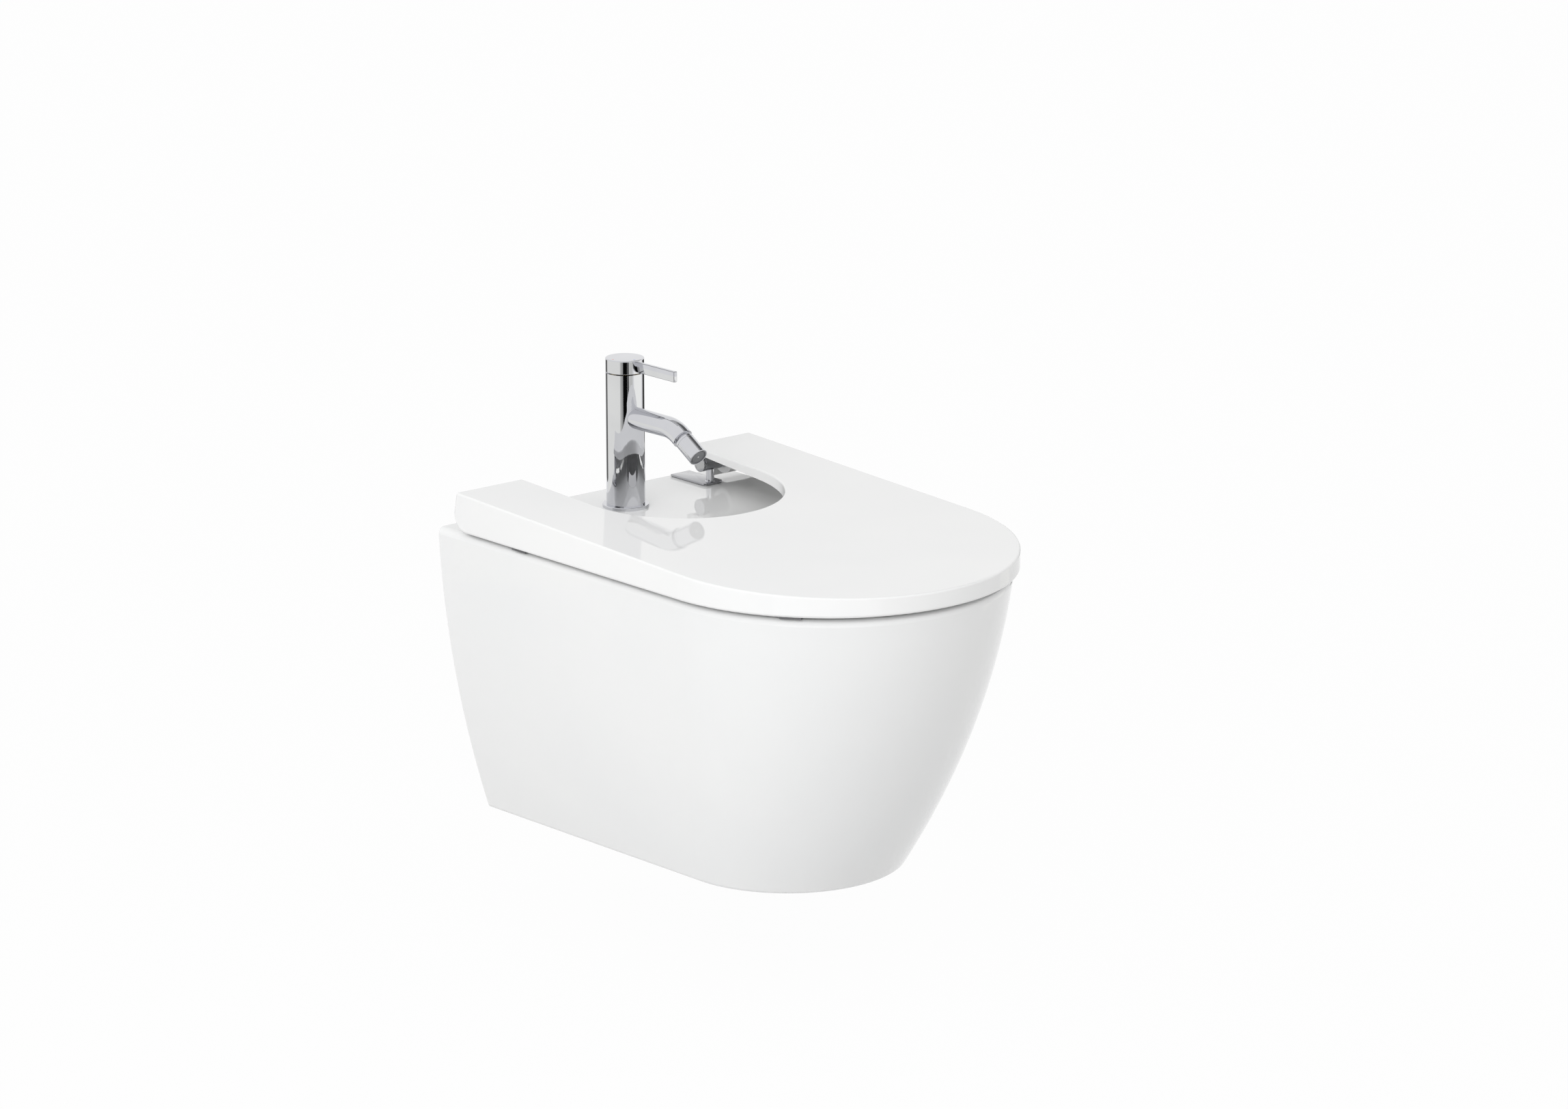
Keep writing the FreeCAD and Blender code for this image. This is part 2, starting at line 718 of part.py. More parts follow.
def buffer_places():
    """Centre, turn and height of boss of the four buffers: two along the flanks, two along the nose."""
    inset = "(buffer_setback + buffer_width / 2)"
    nose_reach = "(lid_nose_radius - %s)" % inset
    flank_top = lid_top("(buffer_rear_from_wall + buffer_length / 2)")
    flank_height = "%s - lid_wall / 2 - (%s)" % (flank_top, LID_BASE)
    places = []
    for _, sign in SIDES:
        flank_x = "%d * (lid_rear_half_width - %s)" % (sign, inset)
        places.append((flank_x, "-buffer_rear_from_wall", "0", flank_height))
        nose_x = "%d * %s * sin(buffer_front_angle)" % (sign, nose_reach)
        nose_y = "-(lid_depth - lid_nose_radius) - %s * cos(buffer_front_angle)" % nose_reach
        nose_top = lid_top("(lid_depth - lid_nose_radius + lid_nose_radius * cos(buffer_front_angle))")
        nose_height = "%s - lid_wall / 2 - (%s)" % (nose_top, LID_BASE)
        places.append((nose_x, nose_y, "(90 + %d * buffer_front_angle)" % sign, nose_height))
    return places


def turned_box(name, x, y, z, turn, height):
    """Block of a buffer's width and length, turned about its own upright middle."""
    corner_x = "%s - buffer_width / 2 * cos(%s) + buffer_length / 2 * sin(%s)" % (x, turn, turn)
    corner_y = "%s - buffer_width / 2 * sin(%s) - buffer_length / 2 * cos(%s)" % (y, turn, turn)
    piece = box(name, "buffer_width", "buffer_length", height, corner_x, corner_y, z)
    piece.setExpression("Placement.Rotation.Angle", "%s * 1 deg" % bound(turn))
    return piece


def lid_wedge(body, name, inset, rear, wall_round_cutout):
    """Outline of the lid under its sloping top, with the tap's cut-out, at an inset from the outside."""
    sketch = new_sketch(body, name + "_outline", "XY_Plane", LID_BASE)
    add_outline(sketch, "(lid_rear_half_width - %s)" % inset, rear, "(lid_depth - %s)" % inset,
                "(lid_nose_radius - %s)" % inset)
    pad(body, name + "_blank", sketch, "lid_rear_height + lid_wall")
    beyond = "(lid_depth + overcut)"
    behind = "(-overcut)"
    above = "%s + lid_rear_height + overcut" % LID_BASE
    sketch = new_sketch(body, name + "_slope", "YZ_Plane")
    rear_level = "%s - %s" % (lid_top(behind), inset)
    front_level = "%s - %s" % (lid_top(beyond), inset)
    add_polygon(sketch, [("overcut", rear_level), ("-" + beyond, front_level), ("-" + beyond, above),
                         ("overcut", above)])
    pocket_both_ways(body, name + "_wedge", sketch, "lid_rear_half_width + lid_nose_radius")
    half_width = "(cutout_half_width + %s)" % wall_round_cutout
    sketch = new_sketch(body, name + "_cutout_outline", "XY_Plane", LID_BASE)
    add_outline(sketch, half_width, "0", "(cutout_depth + %s)" % wall_round_cutout, half_width)
    pocket(body, name + "_cutout", sketch, "lid_rear_height + overcut", reverse=True)


def build_lid():
    hollow = new_body("lid_hollow_form")
    lid_wedge(hollow, "lid_hollow", "lid_wall", "(%s + lid_wall)" % LID_REAR_TOP, "lid_wall")
    body = new_body("lid_form")
    lid_wedge(body, "lid", "0", LID_REAR, "0")
    sketch = new_sketch(body, "lid_rear_lean_cut", "YZ_Plane")
    above = "%s + lid_rear_height + overcut" % LID_BASE
    rear_top = "%s + lid_rear_height" % LID_BASE
    add_polygon(sketch, [("-(%s)" % LID_REAR, LID_BASE), ("-" + LID_REAR_TOP, rear_top),
                         ("-" + LID_REAR_TOP, above), ("overcut", above), ("overcut", LID_BASE)])
    pocket_both_ways(body, "lid_rear_face", sketch, "lid_rear_half_width + lid_nose_radius")
    rear, base = -number(LID_REAR), number(LID_BASE)
    round_edges(body, "lid_rear_rounding", "lid_rear_round",
                lambda edge: at_height(edge, base) and edge.BoundBox.YMin > rear - TOUCH)
    beside = number("cutout_half_width") + EDGE_MARGIN

    def on_foot_edge(edge):
        outside = max(edge.BoundBox.XMax, -edge.BoundBox.XMin) > beside
        return outside and edge.BoundBox.YLength > EDGE_MARGIN and at_height(edge, base)

    round_edges(body, "lid_foot_rounding", "lid_foot_round", on_foot_edge)
    inside = body.newObject("PartDesign::Boolean", "lid_inside")
    inside.Type = "Cut"
    inside.setObjects([hollow])

    # The wall round the cut-out is only a lip, deeper towards the front
    lip_front = "(cutout_depth + lid_wall + overcut)"
    sketch = new_sketch(body, "lip_cut", "YZ_Plane")
    front_level = lid_top(lip_front) + " - lip_front_depth"
    rear_level = lid_top("(-overcut)") + " - lip_rear_depth"
    add_polygon(sketch, [("overcut", RIM), ("-" + lip_front, RIM), ("-" + lip_front, front_level),
                         ("overcut", rear_level)])
    pocket_both_ways(body, "lip", sketch, "cutout_half_width + lid_wall + lip_overcut")

    # Behind each barrel the rear wall is open
    sketch = new_sketch(body, "hinge_recesses", "XY_Plane", RIM)
    recess_top = "lid_gap - deck_rise + lid_rear_height - lid_wall - lid_edge_round"
    for _, sign in SIDES:
        inner = "%d * (cutout_half_width + lid_wall)" % sign
        outer = "%d * (%s - knuckle_gap / 2)" % (sign, KNUCKLE_START)
        low, high = (inner, outer) if sign > 0 else (outer, inner)
        add_rectangle(sketch, low, high, "-(%s + lid_wall + overcut)" % LID_REAR_TOP, "overcut")
    pocket(body, "hinge_recess", sketch, recess_top, reverse=True)

    def on_top_edge(edge):
        middle = edge.valueAt((edge.FirstParameter + edge.LastParameter) / 2)
        points = [middle] + [vertex.Point for vertex in edge.Vertexes]
        return all(abs(point.z - number(lid_top("(%r)" % -point.y))) < TOUCH for point in points)

    round_edges(body, "lid_top_rounding", "lid_edge_round", on_top_edge)

    # Round knuckles inside the arms, that the hinge pins turn with
    pieces, holes, buffers = [body], [], []
    bore = "pin_radius + pin_clearance / 2"
    for side, sign in SIDES:
        outward = ALONG_X if sign > 0 else ALONG_MINUS_X
        knuckle_at = ("%d * %s" % (sign, KNUCKLE_START), "-hinge_from_wall", HINGE_Z, outward)
        knuckle_length = "lid_rear_half_width - lid_wall / 2 - %s" % KNUCKLE_START
        pieces.append(cylinder("knuckle_" + side, "knuckle_radius", knuckle_length, *knuckle_at))
        holes.append(cylinder("pin_bore_" + side, bore, "pin_in_knuckle", *knuckle_at))

    # Bosses that carry the buffers, from the underside up into the top skin
    for i, (x, y, turn, height) in enumerate(buffer_places()):
        pieces.append(turned_box("buffer_boss_%d" % i, x, y, LID_BASE, turn, height))
        holes.append(cylinder("buffer_hole_%d" % i, "buffer_peg_radius", "buffer_peg", x, y, LID_BASE))
        foot_base = "%s + buffer_clearance" % LOW_RIM
        foot = turned_box("buffer_foot_%d" % i, x, y, foot_base, turn, "lid_gap - buffer_clearance")
        peg = cylinder("buffer_peg_%d" % i, "buffer_peg_radius", "buffer_peg", x, y, LID_BASE)
        buffers.append(fuse("buffer_%d" % i, [foot, peg]))
    bored = cut("lid_bored", fuse("lid_with_bosses", pieces), group("lid_holes", holes))
    node(bored, "lid_shell")
    node(group("buffer_set", buffers), "lid_buffers")


# Hinges

def build_hinges():
    gaskets, studs, sleeves, nuts = [], [], [], []
    plate_base = "%s + plate_gasket" % RIM
    for side, sign in SIDES:
        x = "%d * hinge_half_spacing" % sign
        outward = ALONG_X if sign > 0 else ALONG_MINUS_X

        flat_pieces = (("hinge_gasket_", RIM, "plate_gasket"), ("hinge_plate_", plate_base, "plate"))
        for label, base, thickness in flat_pieces:
            body = new_body(label + side)
            sketch = new_sketch(body, label + side + "_outline", "XY_Plane")
            add_outline(sketch, "plate_half_width", "plate_from_wall",
                        "hinge_from_wall + plate_half_width", "plate_half_width")
            pad(body, label + side + "_pad", sketch, thickness)
            place(body, x, "0", base)
            if label == "hinge_plate_":
                node(body, label + side)
                continue
            sketch = new_sketch(body, label + side + "_hole", "XY_Plane", thickness)
            add_circle(sketch, "0", "-hinge_stud_from_wall", "hinge_stud_radius + hinge_hole_clearance / 2")
            pocket(body, label + side + "_bore", sketch, thickness)
            gaskets.append(body)

        def along(start):
            return "%d * %s" % (sign, start)

        barrel_at = ("-hinge_from_wall", HINGE_Z)
        post = cylinder("post_blank_" + side, "post_radius", "hinge_height - plate_gasket - plate",
                        x, "-hinge_from_wall", "%s + plate" % plate_base)
        saddle = cylinder("post_saddle_" + side, "barrel_radius", "barrel_length",
                          along("(%s + end_cap)" % BARREL_START), *barrel_at, outward)
        node(cut("post_" + side, post, saddle), "hinge_post_" + side)

        bore = "barrel_radius - barrel_wall"
        barrel = turned("barrel_" + side, ring(bore, "barrel_radius", "0", "barrel_length"),
                        along("(%s + end_cap)" % BARREL_START), *barrel_at, outward)
        node(barrel, "hinge_barrel_" + side)

        cap = [("0", "0"), ("barrel_radius - end_cap_groove", "0"), ("barrel_radius", "end_cap_groove"),
               ("barrel_radius", "end_cap - 2 * end_cap_groove"),
               ("barrel_radius - end_cap_groove", "end_cap - 2 * end_cap_groove"),
               ("barrel_radius - end_cap_groove", "end_cap"), ("barrel_radius - barrel_wall", "end_cap"),
               ("barrel_radius - barrel_wall", "end_cap + end_cap_plug"), ("0", "end_cap + end_cap_plug")]
        end_cap = turned("end_cap_" + side, cap, along(BARREL_START), *barrel_at, outward)
        node(end_cap, "hinge_end_cap_" + side)

        damper_radius = "barrel_radius - barrel_wall - damper_clearance"
        floor = "barrel_length - pin_in_damper"
        pin_bore = "pin_radius + pin_clearance"
        damper = [("0", "end_cap_plug"), (damper_radius, "end_cap_plug"), (damper_radius, "barrel_length"),
                  (pin_bore, "barrel_length"), (pin_bore, floor), ("0", floor)]
        node(turned("damper_" + side, damper, along("(%s + end_cap)" % BARREL_START), *barrel_at, outward),
             "hinge_damper_" + side)

        pin_start = "(%s + end_cap + %s + 2 * pin_clearance)" % (BARREL_START, floor)
        pin = rod("pin_radius", "0", "pin_in_damper + knuckle_gap + pin_in_knuckle - 4 * pin_clearance")
        node(turned("pin_" + side, pin, along(pin_start), *barrel_at, outward), "hinge_pin_" + side)

        stud_at = (x, "-hinge_stud_from_wall")
        stud = rod("hinge_stud_radius", "-hinge_stud_length", "plate_gasket")
        studs.append(turned("hinge_stud_" + side, stud, *stud_at, RIM))
        sleeve = ring("hinge_stud_radius", "hinge_hole_radius - hinge_hole_clearance", "-deck_thickness", "0")
        sleeves.append(turned("hinge_sleeve_" + side, sleeve, *stud_at, RIM))
        nut = [("hinge_stud_radius", "0"), ("hinge_nut_flange_radius", "0"),
               ("hinge_nut_flange_radius", "-hinge_nut_flange"),
               ("hinge_nut_hub_radius", "-hinge_nut_flange"),
               ("hinge_nut_hub_radius", "-hinge_nut_flange - hinge_nut_hub"),
               ("hinge_stud_radius", "-hinge_nut_flange - hinge_nut_hub")]
        nuts.append(turned("hinge_nut_" + side, nut, *stud_at, UNDER_DECK))
    node(group("hinge_gasket_pair", gaskets), "hinge_gaskets")
    node(group("hinge_stud_pair", studs), "hinge_fixing_studs")
    node(group("hinge_sleeve_pair", sleeves), "hinge_fixing_sleeves")
    node(group("hinge_nut_pair", nuts), "hinge_fixing_nuts")


# Tap

def aim_down_spout(piece):
    """Turn an upright piece to point out of the spout's end, from the centre of the ball there."""
    place(piece, "0", "-" + BALL_Y, BALL_Z, Rotation(Vector(1, 0, 0), 90))
    piece.setExpression("Placement.Rotation.Angle", "(90 + dims.spout_drop) * 1 deg")
    return piece


def add_spout_path(sketch):
    """Straight run, bend and stub of the spout, in the plane of the column's axis."""
    drop = math.radians(size("spout_drop"))
    radius, height = size("spout_bend_radius"), size("spout_height")
    bend = Vector(-size("spout_straight"), height, 0)
    centre = Vector(bend.x, height - radius, 0)
    bend_end = Vector(bend.x - radius * math.sin(drop), centre.y + radius * math.cos(drop), 0)
    stub = size("spout_stub")
    tip = Vector(bend_end.x - stub * math.cos(drop), bend_end.y - stub * math.sin(drop), 0)
    circle = Part.Circle(centre, Vector(0, 0, 1), radius)
    run = sketch.addGeometry(Part.LineSegment(Vector(0, height, 0), bend), False)
    arc = sketch.addGeometry(Part.ArcOfCircle(circle, math.pi / 2, math.pi / 2 + drop), False)
    end = sketch.addGeometry(Part.LineSegment(bend_end, tip), False)
    pin_point(sketch, run, 1, "0", "spout_height")
    pin_point(sketch, run, 2, "-spout_straight", "spout_height")
    sketch.addConstraint(Sketcher.Constraint("Tangent", run, 2, arc, 1))
    sketch.addConstraint(Sketcher.Constraint("Tangent", arc, 2, end, 1))
    fix(sketch, "spout_bend_radius", "Radius", arc)
    fix(sketch, "spout_stub", "Distance", end)
    fix(sketch, "-spout_straight - spout_bend_radius * sin(spout_drop)", "DistanceX", -1, 1, arc, 2)


def build_tap_body():
    body = new_body("tap_casting")
    sketch = new_sketch(body, "column_profile", "XZ_Plane")
    spigot = "tap_hole_radius - tap_spigot_clearance"
    add_polygon(sketch, [("0", "-tap_spigot"), (spigot, "-tap_spigot"), (spigot, "base_ring"),
                         ("column_radius", "base_ring"), ("column_radius", "column_top"),
                         ("chamber_radius", "column_top"), ("chamber_radius", "chamber_floor"),
                         ("0", "chamber_floor")])
    revolve(body, "column", sketch)
    pipes = (("AdditivePipe", "spout", "spout_radius"), ("SubtractivePipe", "waterway", "spout_bore"))
    for kind, name, radius in pipes:
        circle = new_sketch(body, name + "_circle", "XZ_Plane")
        add_circle(circle, "0", "spout_height", radius)
        path = new_sketch(body, name + "_path", "YZ_Plane")
        add_spout_path(path)
        pipe = body.newObject("PartDesign::" + kind, name)
        pipe.Profile = circle
        pipe.Spine = path
    sketch = new_sketch(body, "outlet_circle", "XY_Plane", "chamber_floor")
    add_circle(sketch, "0", "0", "outlet_radius")
    pocket(body, "outlet", sketch, "chamber_floor - outlet_floor")
    inlets = (("inlet_ports", "inlet_port_radius", "inlet_port_depth"),
              ("inlet_bores", "inlet_bore", "chamber_floor + tap_spigot"))
    for name, radius, length in inlets:
        sketch = new_sketch(body, name + "_circles", "XY_Plane", "-tap_spigot")
        for _, sign in SIDES:
            add_circle(sketch, "%d * inlet_side" % sign, "inlet_behind", radius)
        pocket(body, name, sketch, length, reverse=True)
    sketch = new_sketch(body, "stud_circle", "XY_Plane", "-tap_spigot")
    add_circle(sketch, "0", "-tap_stud_ahead", "tap_stud_radius")
    pocket(body, "stud_socket", sketch, "tap_stud_in_body", reverse=True)
    place(body, "0", "-tap_from_wall", RIM)

    seat = doc.addObject("Part::Sphere", "ball_seat")
    seat.setExpression("Radius", bound("ball_radius + ball_clearance"))
    aim_down_spout(seat)
    node(cut("tap_with_seat", body, seat), "tap_body")


def build_tap_fixing():
    at = ("0", "-tap_from_wall", RIM)
    spigot = "tap_hole_radius - tap_spigot_clearance"
    base_ring = [(spigot, "0"), ("base_seal_inner", "0"), ("base_seal_inner", "base_seal"),
                 ("base_seal_outer", "base_seal"), ("base_seal_outer", "0"), ("base_ring_radius", "0"),
                 ("base_ring_radius", "base_ring - base_ring_edge"),
                 ("base_ring_radius - base_ring_edge", "base_ring"), (spigot, "base_ring")]
    node(turned("base_ring_form", base_ring, *at), "tap_base_ring")
    base_seal = ring("base_seal_inner", "base_seal_outer", "0", "base_seal")
    node(turned("base_seal_form", base_seal, *at), "tap_base_seal")

    stud_y = "-tap_from_wall - tap_stud_ahead"
    node(turned("tap_stud_form", rod("tap_stud_radius", "-tap_stud_length", "0"), "0", stud_y,
                "%s - tap_spigot + tap_stud_in_body" % RIM), "tap_fixing_stud")

    # Horseshoes under the deck, open behind so that the two supply pipes pass
    top = UNDER_DECK
    slot_ahead = "tap_stud_ahead - tap_stud_radius - tap_washer_web"
    for name, thickness in (("tap_fixing_gasket", "tap_gasket"), ("tap_fixing_washer", "tap_washer")):
        top = "%s - %s" % (top, thickness)
        disc = cylinder(name + "_disc", "tap_washer_radius", thickness, "0", "-tap_from_wall", top)
        slot = box(name + "_slot", "2 * tap_washer_slot", "tap_washer_radius + " + slot_ahead, thickness,
                   "-tap_washer_slot", "-tap_from_wall - (%s)" % slot_ahead, top)
        hole = cylinder(name + "_hole", "tap_stud_radius + hinge_hole_clearance", thickness, "0", stud_y, top)
        node(cut(name + "_form", disc, fuse(name + "_cuts", [slot, hole])), name)
    top = "%s - tap_nut" % top
    nut = hex_nut("tap_nut_form", "tap_nut_corner", "tap_nut", "tap_stud_radius", "0", stud_y, top)
    node(nut, "tap_fixing_nut")


def build_cartridge():
    y = "-tap_from_wall"

    def up(height):
        return "%s + %s" % (RIM, height)

    inlets = [("%d * inlet_side" % sign, "inlet_behind") for _, sign in SIDES]
    seals = []
    for i, (inlet_x, inlet_y) in enumerate(inlets):
        seals.append(turned("cartridge_seal_%d" % i,
                            ring("inlet_bore", "inlet_bore + cartridge_seal_width", "0", "cartridge_seal"),
                            inlet_x, "-tap_from_wall + %s" % inlet_y, up("chamber_floor")))
    node(group("cartridge_seal_pair", seals), "cartridge_seals")

    base = "chamber_floor + cartridge_seal"
    outer = "chamber_radius - cartridge_clearance"
    inner = "chamber_radius - cartridge_clearance - cartridge_wall"
    roof = "cartridge_height - cartridge_wall"
    housing = new_body("cartridge_housing_form")
    sketch = new_sketch(housing, "cartridge_profile", "XZ_Plane")
    add_polygon(sketch, [("0", "0"), (outer, "0"), (outer, "cartridge_height"),
                         ("stem_radius + stem_clearance", "cartridge_height"),
                         ("stem_radius + stem_clearance", roof), (inner, roof),
                         (inner, "cartridge_floor"), ("0", "cartridge_floor")])
    revolve(housing, "cartridge_cup", sketch)
    fixed = new_body("fixed_disc_form")
    disc_radius = "chamber_radius - cartridge_clearance - cartridge_wall - disc_clearance"
    sketch = new_sketch(fixed, "fixed_disc_circle", "XY_Plane")
    add_circle(sketch, "0", "0", disc_radius)
    pad(fixed, "fixed_disc_pad", sketch, "disc")
    for body, name, thickness in ((housing, "cup_ports", "cartridge_floor"), (fixed, "disc_ports", "disc")):
        sketch = new_sketch(body, name + "_circles", "XY_Plane", thickness)
        for inlet_x, inlet_y in inlets:
            add_circle(sketch, inlet_x, inlet_y, "inlet_bore")
        add_circle(sketch, "0", "-inlet_behind", "outlet_radius - inlet_behind / 2")
        pocket(body, name, sketch, thickness)
    place(housing, "0", y, up(base))
    place(fixed, "0", y, up(base + " + cartridge_floor"))
    node(housing, "cartridge_housing")
    node(fixed, "cartridge_fixed_disc")

    moving_base = base + " + cartridge_floor + disc + disc_gap"
    recess = "outlet_radius + inlet_behind"
    moving = [("0", "disc / 2"), (recess, "disc / 2"), (recess, "0"), (disc_radius, "0"),
              (disc_radius, "disc"), ("0", "disc")]
    node(turned("moving_disc_form", moving, "0", y, up(moving_base)), "cartridge_moving_disc")

    stem_base = moving_base + " + disc"
    carrier = disc_radius + " - carrier_setback"
    stem_top = "%s + stem_in_cap - (%s)" % (CAP_BASE, stem_base)
    stem = [("0", "0"), (carrier, "0"), (carrier, "carrier"), ("stem_radius", "carrier"),
            ("stem_radius", stem_top), ("0", stem_top)]
    node(turned("stem_form", stem, "0", y, up(stem_base)), "cartridge_stem")
    nut = ring("cartridge_nut_bore", "chamber_radius", "0", "cartridge_nut")
    node(turned("cartridge_nut_form", nut, "0", y, up(base + " + cartridge_height")), "cartridge_nut")


def build_lever():
    at = ("0", "-tap_from_wall", "%s + %s" % (RIM, CAP_BASE))
    lever_low = "cap_height - lever_below_top - lever_height"
    cap_profile = [("stem_radius", "0"), ("column_radius", "0"), ("column_radius", "cap_height - cap_edge"),
                   ("column_radius - cap_edge", "cap_height"), ("0", "cap_height"),
                   ("0", "stem_in_cap"), ("stem_radius", "stem_in_cap")]
    cap = turned("cap_blank", cap_profile, *at)
    slot = box("lever_slot", "lever_thickness", "column_radius - lever_root + overcut", "lever_height",
               "-lever_thickness / 2", "-tap_from_wall - column_radius - overcut",
               "%s + %s + %s" % (RIM, CAP_BASE, lever_low))
    grub_z = "%s + %s + stem_in_cap / 2" % (RIM, CAP_BASE)
    grub_y = "-tap_from_wall + stem_radius"
    grub_hole = cylinder("grub_hole", "grub_radius", "column_radius", "0", grub_y, grub_z, ALONG_PLUS_Y)
    dots = []
    for name, x, y in (("hot", "-dot_from_axis", "0"), ("cold", "0", "-dot_from_axis")):
        dot_at = (x, "-tap_from_wall + %s" % y, "%s + %s + cap_height - dot_depth" % (RIM, CAP_BASE))
        dots.append(cylinder("dot_recess_" + name, "dot_radius", "dot_depth", *dot_at))
        node(turned("dot_" + name, rod("dot_radius", "0", "dot_depth"), *dot_at), "indicator_" + name)
    node(cut("cap_form", cap, fuse("cap_cuts", [slot, grub_hole] + dots)), "lever_cap")
    grub = rod("grub_radius", "0", "grub_length")
    node(turned("grub_form", grub, "0", grub_y, grub_z, ALONG_PLUS_Y), "lever_screw")

    body = new_body("lever_form")
    sketch = new_sketch(body, "lever_side", "YZ_Plane", "-lever_thickness / 2")
    add_rectangle(sketch, "-lever_reach", "-lever_root", lever_low, lever_low + " + lever_height")
    pad(body, "lever_pad", sketch, "lever_thickness")
    cap_side = -size("column_radius")
    round_edges(body, "lever_rounding", "lever_edge", lambda edge: edge.BoundBox.YMax < cap_side)
    place(body, *at)
    node(body, "lever_bar")


# Nozzle on its ball

def build_nozzle():
    ball = doc.addObject("Part::Sphere", "ball_form")
    ball.setExpression("Radius", bound("ball_radius"))
    aim_down_spout(ball)
    bore = turned("ball_bore_form", rod("ball_bore", "-ball_radius - overcut", "ball_radius + overcut"))
    node(cut("ball_bored", ball, aim_down_spout(bore)), "swivel_ball")

    end = "nozzle_length - nozzle_start"
    shoulder = "(%s - aerator_setback - aerator_length - aerator_seal)" % end
    housing = turned("nozzle_blank", [
        ("nozzle_bore", "-nozzle_start"), ("nozzle_radius - nozzle_edge", "-nozzle_start"),
        ("nozzle_radius", "-nozzle_start + nozzle_edge"), ("nozzle_radius", end + " - nozzle_edge"),
        ("nozzle_radius - nozzle_edge / 2", end), ("aerator_radius", end), ("aerator_radius", shoulder),
        ("nozzle_bore", shoulder)])
    socket = doc.addObject("Part::Sphere", "nozzle_socket")
    socket.setExpression("Radius", bound("ball_radius + ball_clearance"))
    aim_down_spout(socket)
    node(cut("nozzle_form", aim_down_spout(housing), socket), "nozzle_housing")

    seal = turned("aerator_seal_form", ring("nozzle_bore", "aerator_radius - aerator_clearance",
                                            shoulder, shoulder + " + aerator_seal"))
    node(aim_down_spout(seal), "aerator_seal")

    body = new_body("aerator_form")
    sketch = new_sketch(body, "aerator_circle", "XY_Plane", shoulder + " + aerator_seal")
    add_circle(sketch, "0", "0", "aerator_radius - aerator_clearance")
    pad(body, "aerator_body", sketch, "aerator_length")
    front = end + " - aerator_setback"
    sketch = new_sketch(body, "aerator_face_circle", "XY_Plane", front)
    add_circle(sketch, "0", "0", "aerator_face_radius")
    pocket(body, "aerator_face", sketch, "aerator_teeth")
    sketch = new_sketch(body, "aerator_notch_outline", "XY_Plane", front)
    add_rectangle(sketch, "aerator_face_radius - aerator_notch", "aerator_radius",
                  "-aerator_notch / 2", "aerator_notch / 2")
    notch = pocket(body, "aerator_notch", sketch, "aerator_teeth")
    repeat_round(body, "aerator_notches", notch, AERATOR_NOTCHES)
    sketch = new_sketch(body, "aerator_hole_circle", "XY_Plane", front)
    add_circle(sketch, "aerator_hole_circle", "0", "aerator_hole")
    hole = pocket(body, "aerator_hole", sketch, "aerator_length")
    repeat_round(body, "aerator_holes", hole, AERATOR_HOLES)
    node(aim_down_spout(body), "aerator_insert")


# Waste

def build_waste():
    axis = ("0", "-drain_from_wall")
    upper_seal = ring("waste_seal_inner", "waste_seal_outer", "0", "waste_seal")
    node(turned("waste_seal_form", upper_seal, *axis, DRAIN_SEAT), "waste_seal_upper")

    body = new_body("waste_form")
    sketch = new_sketch(body, "waste_profile", "XZ_Plane")
    thread_top = "-waste_length + waste_thread_length"
    relief_top = thread_top + " + thread_relief"
    add_polygon(sketch, [("waste_bore", "-waste_length"), ("waste_thread_radius", "-waste_length"),
                         ("waste_thread_radius", thread_top), ("thread_relief_radius", thread_top),
                         ("thread_relief_radius", relief_top), ("waste_body_radius", relief_top),
                         ("waste_body_radius", "0"), ("waste_flange_radius", "0"),
                         ("waste_flange_radius", "waste_flange"), ("waste_bore", "waste_flange")])
    revolve(body, "waste_tube", sketch)
    sketch = new_sketch(body, "spider_circle", "XY_Plane", "-spider_depth - spider")
    add_circle(sketch, "0", "0", "(waste_bore + waste_body_radius) / 2")
    pad(body, "spider_disc", sketch, "spider")
    sketch = new_sketch(body, "click_hole_circle", "XY_Plane", "-spider_depth")
    add_circle(sketch, "0", "0", "click_radius + click_clearance")
    pocket(body, "click_hole", sketch, "spider")
    sketch = new_sketch(body, "spider_hole_circle_sketch", "XY_Plane", "-spider_depth")
    add_circle(sketch, "spider_hole_circle", "0", "spider_hole")
    hole = pocket(body, "spider_opening", sketch, "spider")
    repeat_round(body, "spider_openings", hole, SPIDER_HOLES)
    place(body, *axis, FLANGE_UNDERSIDE)
    node(body, "waste_body")

    click_floor = "-click_length + click_floor"
    click = [("0", "-click_length"), ("click_radius", "-click_length"), ("click_radius", "0"),
             ("click_flange_radius", "0"), ("click_flange_radius", "click_flange"),
             ("rod_radius + rod_clearance", "click_flange"), ("rod_radius + rod_clearance", click_floor),
             ("0", click_floor)]
    node(turned("click_form", click, *axis, SPIDER_TOP), "click_cartridge")

    seal_base = "(%s + plug_gap)" % FLANGE_TOP
    plug_base = "(%s + plug_seal)" % seal_base
    plug_seal = ring("plug_seal_inner", "plug_seal_outer", "0", "plug_seal")
    node(turned("plug_seal_form", plug_seal, *axis, seal_base), "plug_seal")
    plug = [("0", "0"), ("plug_radius", "0"), ("plug_radius", "plug_edge"), ("0", "plug_edge + plug_crown")]
    node(turned("plug_form", plug, *axis, plug_base), "waste_plug")
    rod_low = "%s + click_flange - rod_in_click - %s" % (SPIDER_TOP, plug_base)
    node(turned("plug_rod_form", rod("rod_radius", rod_low, "0"), *axis, plug_base), "plug_rod")

    back_bore = "waste_body_radius + back_seal_clearance"
    seal_low = "%s - back_seal" % BOSS_UNDERSIDE
    node(turned("back_seal_form", ring(back_bore, "back_seal_outer", "0", "back_seal"), *axis, seal_low),
         "waste_seal_lower")
    node(hex_nut("back_nut_form", "back_nut_corner", "back_nut", "waste_body_radius", *axis,
                 "%s - back_nut" % seal_low), "waste_back_nut")


